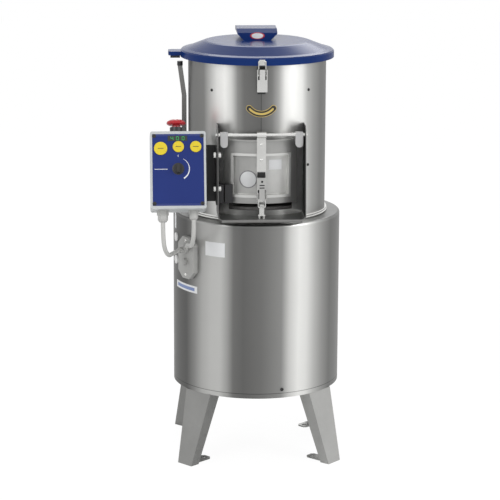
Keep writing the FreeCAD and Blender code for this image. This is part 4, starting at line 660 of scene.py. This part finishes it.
class PEELER_OT_drum_fittings(bpy.types.Operator):
    """Add the lining screws and the curved plate to the drum"""
    bl_idname = "peeler.drum_fittings"
    bl_label = "Drum fittings"

    def execute(self, context):
        sizes = context.scene.peeler_sizes
        for angle in (-43.5, 43.5, 136.5, -136.5):
            for height in (0.874, 0.701):
                shape = screw_mesh(sizes.screw_radius, 0.0018)
                seat_all(shape, drum_seat(angle, sizes.drum_radius, height))
                side = "left" if angle < 0 else "right"
                depth = "front" if abs(angle) < 90 else "rear"
                level = "upper" if height > 0.8 else "lower"
                finish_piece(shape, "lining_screw_%s_%s_%s" % (depth, side, level), "frame", "dark_plate")
        layers = (
            ("badge_rim", 0.0072, 0.0006, 50.0, "badge"),
            ("badge_border", 0.0061, 0.0008, 50.0, "black"),
            ("badge_field", 0.0024, 0.0010, 46.0, "badge"),
        )
        for name, half, thick, reach, finish in layers:
            shape = arc_mesh(sizes.badge_radius, half, thick, 180.0 - reach, 180.0 + reach)
            for side in (-1, 1):
                turn = math.radians(180.0 + side * reach)
                end = disc_mesh(half, thick, 28)
                spot = (sizes.badge_radius * math.sin(turn), 0, sizes.badge_radius * math.cos(turn))
                bmesh.ops.translate(end, verts=end.verts, vec=spot)
                scratch = bpy.data.meshes.new("scratch")
                end.to_mesh(scratch)
                end.free()
                shape.from_mesh(scratch)
                bpy.data.meshes.remove(scratch)
            wrap(shape, sizes.drum_radius + 0.00005, 0.0, sizes.badge_height)
            finish_piece(shape, name, "frame", finish)
        return {"FINISHED"}


class PEELER_OT_door_fittings(bpy.types.Operator):
    """Add the blank stickers in the door's window and the rivets of its strap"""
    bl_idname = "peeler.door_fittings"
    bl_label = "Door fittings"

    def execute(self, context):
        sizes = context.scene.peeler_sizes
        thick = sizes.plate_thickness
        door_face = sizes.drum_radius + DOOR_GAP + 2 * SHEET
        pan_face = door_face - PAN_DEPTH
        stickers = (
            ("round_sticker", disc_mesh(0.0205, thick, 56), -0.0290, LIFT, 0.6745, 12, "label_grey"),
            ("round_sticker_field", disc_mesh(0.0180, thick, 56), -0.0290, 3 * LIFT, 0.6745, 12, "label"),
            ("square_sticker", plate_mesh(0.0300, 0.0230, thick), 0.0330, LIFT, 0.7080, 8, "label"),
        )
        for name, shape, across, lift, height, columns, finish in stickers:
            bmesh.ops.translate(shape, verts=shape.verts, vec=(across, 0, 0))
            wrap(shape, pan_face + lift, 0.0, height, columns)
            finish_piece(shape, name, "door", finish)
        strap_face = door_face + 0.0002 + STRAP
        for name, height in (("strap_rivet_upper", 0.757), ("strap_rivet_lower", 0.722)):
            shape = screw_mesh(0.0028, 0.0012)
            seat_all(shape, drum_seat(0.0, strap_face, height))
            finish_piece(shape, name, "door", "bright")
        return {"FINISHED"}


class PEELER_OT_casing_fittings(bpy.types.Operator):
    """Add the blank plates, the hem screws and the screws of the cable housing to the base casing"""
    bl_idname = "peeler.casing_fittings"
    bl_label = "Casing fittings"

    plates = (
        ("blank_plate_front", 0.051, 0.033, -32.6, 0.5145, "label"),
        ("blank_plate_side", 0.013, 0.036, -78.0, 0.557, "label"),
        ("blank_strip", 0.092, 0.0165, -61.0, 0.4105, "label"),
        ("blank_strip_band", 0.074, 0.0075, -61.0, 0.4105, "label_blue"),
    )

    def execute(self, context):
        sizes = context.scene.peeler_sizes
        for name, wide, tall, angle, height, finish in self.plates:
            lift = 0.00005 if name != "blank_strip_band" else 0.0003
            shape = plate_mesh(wide, tall, sizes.plate_thickness)
            wrap(shape, sizes.base_radius + lift, angle, height, 12)
            finish_piece(shape, name, "frame", finish)
        for angle in (14.5, 134.5, -105.5):
            shape = screw_mesh(0.0042, 0.0022)
            seat_all(shape, drum_seat(angle, sizes.base_radius, 0.187))
            finish_piece(shape, "hem_screw_%d" % (angle % 360), "frame", "dark_plate")
        for name, drop in (("housing_screw_upper", 0.040), ("housing_screw_lower", -0.040)):
            shape = screw_mesh(0.0036, 0.0020)
            seat_all(shape, drum_seat(-55.5, 0.207, 0.485 + drop))
            finish_piece(shape, name, "frame", "bright")
        return {"FINISHED"}


class PEELER_OT_panel_fittings(bpy.types.Operator):
    """Add the display, the dial's scale, the button marks and the corner screws of the control box"""
    bl_idname = "peeler.panel_fittings"
    bl_label = "Panel fittings"

    segments = {
        "top": (0.0, 1.0, True), "middle": (0.0, 0.0, True), "bottom": (0.0, -1.0, True),
        "upper_left": (-1.0, 0.5, False), "upper_right": (1.0, 0.5, False),
        "lower_left": (-1.0, -0.5, False), "lower_right": (1.0, -0.5, False),
    }
    figures = {
        4: ("upper_left", "upper_right", "middle", "lower_right"),
        0: ("top", "upper_left", "upper_right", "lower_left", "lower_right", "bottom"),
    }

    def add(self, shape, seat, name, finish, smooth=True):
        seat_all(shape, seat)
        finish_piece(shape, name, "frame", finish, smooth)

    def execute(self, context):
        sizes = context.scene.peeler_sizes
        display = 0.0712
        knob = 0.0023
        screen = plate_mesh(0.044, 0.0120, 0.0006, 0.0010)
        self.add(screen, box_seat(-0.001, display), "display_window", "screen")
        for place, figure in enumerate((4, 0, 0)):
            middle = -0.0135 + 0.0125 * place
            for part in self.figures[figure]:
                across, up, lies = self.segments[part]
                size = (0.0040, 0.0011) if lies else (0.0011, 0.0030)
                shape = plate_mesh(size[0], size[1], 0.0003)
                seat = box_seat(middle + across * 0.0025, display + up * 0.0038, 0.0006)
                self.add(shape, seat, "digit_%d_%s" % (place, part), "digit", False)
        shape = arc_mesh(sizes.scale_radius, 0.0016, 0.0003, 28.0, 150.0, 60, 0.75)
        self.add(shape, box_seat(0.0, knob), "dial_scale", "print")
        self.add(plate_mesh(0.0011, 0.0045, 0.0003), box_seat(0.0, 0.0318), "dial_tick", "print", False)
        self.add(plate_mesh(0.0290, 0.0013, 0.0003), box_seat(-0.0385, 0.0015), "dial_dash", "print", False)
        self.add(disc_mesh(0.0135, 0.0005, 48), box_seat(0.0, knob), "knob_ring", "black")
        for name, x, z in (("left", -0.039, 0.0485), ("middle", 0.0007, 0.0523), ("right", 0.0397, 0.0523)):
            shape = plate_mesh(0.0125, 0.0012, 0.0002)
            seat_all(shape, box_seat(x, z, 0.00225))
            finish_piece(shape, "button_mark_%s" % name, "push_" + name, "black", False)
        for side, x in (("left", -0.0536), ("right", 0.0536)):
            for level, z in (("upper", 0.0768), ("lower", -0.0762)):
                seat = box_seat(x, z, -0.0003)
                corner = "%s_%s" % (side, level)
                # A black disc round each corner screw: painted shade in the screw's recess
                self.add(disc_mesh(0.0046, 0.0010, 28), seat, "box_screw_well_" + corner, "black")
                seat = box_seat(x, z, 0.0007)
                self.add(screw_mesh(0.0030, 0.0012), seat, "box_screw_" + corner, "dark_plate")
        return {"FINISHED"}


class PEELER_OT_lid_fittings(bpy.types.Operator):
    """Add the plain oval plate to the front of the lid's handle"""
    bl_idname = "peeler.lid_fittings"
    bl_label = "Lid fittings"

    def execute(self, context):
        layers = (("oval_rim", 1.0, 0.0, "red"), ("oval_field", 0.80, 0.0004, "label"))
        for name, scale, out, finish in layers:
            shape = disc_mesh(0.0170 * scale, 0.0008, 56)
            bmesh.ops.scale(shape, verts=shape.verts, vec=(1.0, 1.0, 0.46))
            seat_all(shape, Matrix.Translation((0.0, -0.0050 - out, 0.9835)))
            finish_piece(shape, name, "lid", finish)
        return {"FINISHED"}


class PEELER_OT_stage(bpy.types.Operator):
    """Set the pale floor, the lamps, the white surround and the camera"""
    bl_idname = "peeler.stage"
    bl_label = "Stage"

    camera_spot = (-0.30355, -4.75489, 1.55870)
    camera_yaw = -3.476
    camera_drop = 12.817
    camera_roll = 0.242
    focal_length = 148.6
    middle = (0.0, 0.0, 0.55)

    def soft_lamp(self, name, spot, aim, size, power):
        lamp = bpy.data.lights.new(name, "AREA")
        lamp.shape = "RECTANGLE"
        lamp.size, lamp.size_y = size
        lamp.energy = power
        holder = bpy.data.objects.new(name, lamp)
        bpy.context.scene.collection.objects.link(holder)
        way = Vector(aim) - Vector(spot)
        holder.matrix_world = Matrix.Translation(spot) @ way.to_track_quat("-Z", "Y").to_matrix().to_4x4()

    def floor(self):
        material = bpy.data.materials.new("pale_floor")
        material.use_nodes = True
        tree = material.node_tree
        shader = tree.nodes["Principled BSDF"]
        shader.inputs["Base Color"].default_value = (0.95, 0.95, 0.95, 1.0)
        shader.inputs["Roughness"].default_value = 0.7
        glow = tree.nodes.new("ShaderNodeEmission")
        glow.inputs["Strength"].default_value = 1.07
        path = tree.nodes.new("ShaderNodeLightPath")
        weight = tree.nodes.new("ShaderNodeMath")
        weight.operation = "MULTIPLY"
        weight.inputs[1].default_value = 0.87
        mix = tree.nodes.new("ShaderNodeMixShader")
        tree.links.new(path.outputs["Is Camera Ray"], weight.inputs[0])
        tree.links.new(weight.outputs[0], mix.inputs[0])
        tree.links.new(shader.outputs[0], mix.inputs[1])
        tree.links.new(glow.outputs[0], mix.inputs[2])
        tree.links.new(mix.outputs[0], tree.nodes["Material Output"].inputs[0])
        shape = bmesh.new()
        bmesh.ops.create_grid(shape, x_segments=1, y_segments=1, size=9.0)
        mesh = bpy.data.meshes.new("floor")
        shape.to_mesh(mesh)
        shape.free()
        mesh.materials.append(material)
        floor = bpy.data.objects.new("floor", mesh)
        bpy.context.scene.collection.objects.link(floor)

    def surround(self, scene):
        world = bpy.data.worlds.new("surround")
        scene.world = world
        world.use_nodes = True
        tree = world.node_tree
        plain = tree.nodes["Background"]
        plain.inputs["Color"].default_value = (1.0, 1.0, 1.0, 1.0)
        plain.inputs["Strength"].default_value = 0.50
        white = tree.nodes.new("ShaderNodeBackground")
        white.inputs["Color"].default_value = (1.0, 1.0, 1.0, 1.0)
        white.inputs["Strength"].default_value = 1.0
        path = tree.nodes.new("ShaderNodeLightPath")
        seen = tree.nodes.new("ShaderNodeMath")
        seen.operation = "ADD"
        through = tree.nodes.new("ShaderNodeMath")
        through.operation = "ADD"
        through.use_clamp = True
        tree.links.new(path.outputs["Is Camera Ray"], seen.inputs[0])
        tree.links.new(path.outputs["Is Glossy Ray"], seen.inputs[1])
        tree.links.new(seen.outputs[0], through.inputs[0])
        tree.links.new(path.outputs["Is Transmission Ray"], through.inputs[1])
        mix = tree.nodes.new("ShaderNodeMixShader")
        tree.links.new(through.outputs[0], mix.inputs[0])
        tree.links.new(plain.outputs[0], mix.inputs[1])
        tree.links.new(white.outputs[0], mix.inputs[2])
        tree.links.new(mix.outputs[0], tree.nodes["World Output"].inputs[0])

    def execute(self, context):
        scene = context.scene
        scene.view_settings.view_transform = "Standard"
        self.floor()
        self.surround(scene)
        self.soft_lamp("lamp_left", (-2.2, -2.6, 2.6), self.middle, (1.6, 1.6), 40.0)
        self.soft_lamp("lamp_right", (2.4, -1.9, 1.9), self.middle, (1.2, 2.0), 30.0)
        self.soft_lamp("lamp_rear", (0.6, 2.6, 2.4), (0.0, 0.0, 0.6), (1.8, 1.2), 20.0)
        lens = bpy.data.cameras.new("camera")
        lens.sensor_fit = "HORIZONTAL"
        lens.sensor_width = 36.0
        lens.lens = self.focal_length
        lens.clip_end = 50.0
        camera = bpy.data.objects.new("camera", lens)
        scene.collection.objects.link(camera)
        yaw = Matrix.Rotation(math.radians(self.camera_yaw), 4, "Z")
        pitch = Matrix.Rotation(math.radians(90 - self.camera_drop), 4, "X")
        roll = Matrix.Rotation(math.radians(self.camera_roll), 4, "Z")
        camera.matrix_world = Matrix.Translation(self.camera_spot) @ yaw @ pitch @ roll
        scene.camera = camera
        return {"FINISHED"}


class PEELER_PT_panel(bpy.types.Panel):
    """Steps of the dressing, in order"""
    bl_idname = "PEELER_PT_panel"
    bl_label = "Potato peeler"
    bl_space_type = "VIEW_3D"
    bl_region_type = "UI"
    bl_category = "Peeler"

    def draw(self, context):
        for step in STEPS:
            self.layout.operator(step.bl_idname)
        for name in PeelerSizes.__annotations__:
            self.layout.prop(context.scene.peeler_sizes, name)
        for name in PeelerColours.__annotations__:
            self.layout.prop(context.scene.peeler_colours, name)


STEPS = (
    PEELER_OT_finishes,
    PEELER_OT_cables,
    PEELER_OT_drum_fittings,
    PEELER_OT_door_fittings,
    PEELER_OT_casing_fittings,
    PEELER_OT_panel_fittings,
    PEELER_OT_lid_fittings,
    PEELER_OT_stage,
)
CLASSES = (PeelerSizes, PeelerColours, *STEPS, PEELER_PT_panel)


def register():
    for kind in CLASSES:
        bpy.utils.register_class(kind)
    bpy.types.Scene.peeler_sizes = bpy.props.PointerProperty(type=PeelerSizes)
    bpy.types.Scene.peeler_colours = bpy.props.PointerProperty(type=PeelerColours)


def unregister():
    del bpy.types.Scene.peeler_colours
    del bpy.types.Scene.peeler_sizes
    for kind in reversed(CLASSES):
        bpy.utils.unregister_class(kind)


def main():
    register()
    bpy.ops.peeler.finishes()
    bpy.ops.peeler.cables()
    bpy.ops.peeler.drum_fittings()
    bpy.ops.peeler.door_fittings()
    bpy.ops.peeler.casing_fittings()
    bpy.ops.peeler.panel_fittings()
    bpy.ops.peeler.lid_fittings()
    bpy.ops.peeler.stage()


if __name__ == "__main__":
    main()
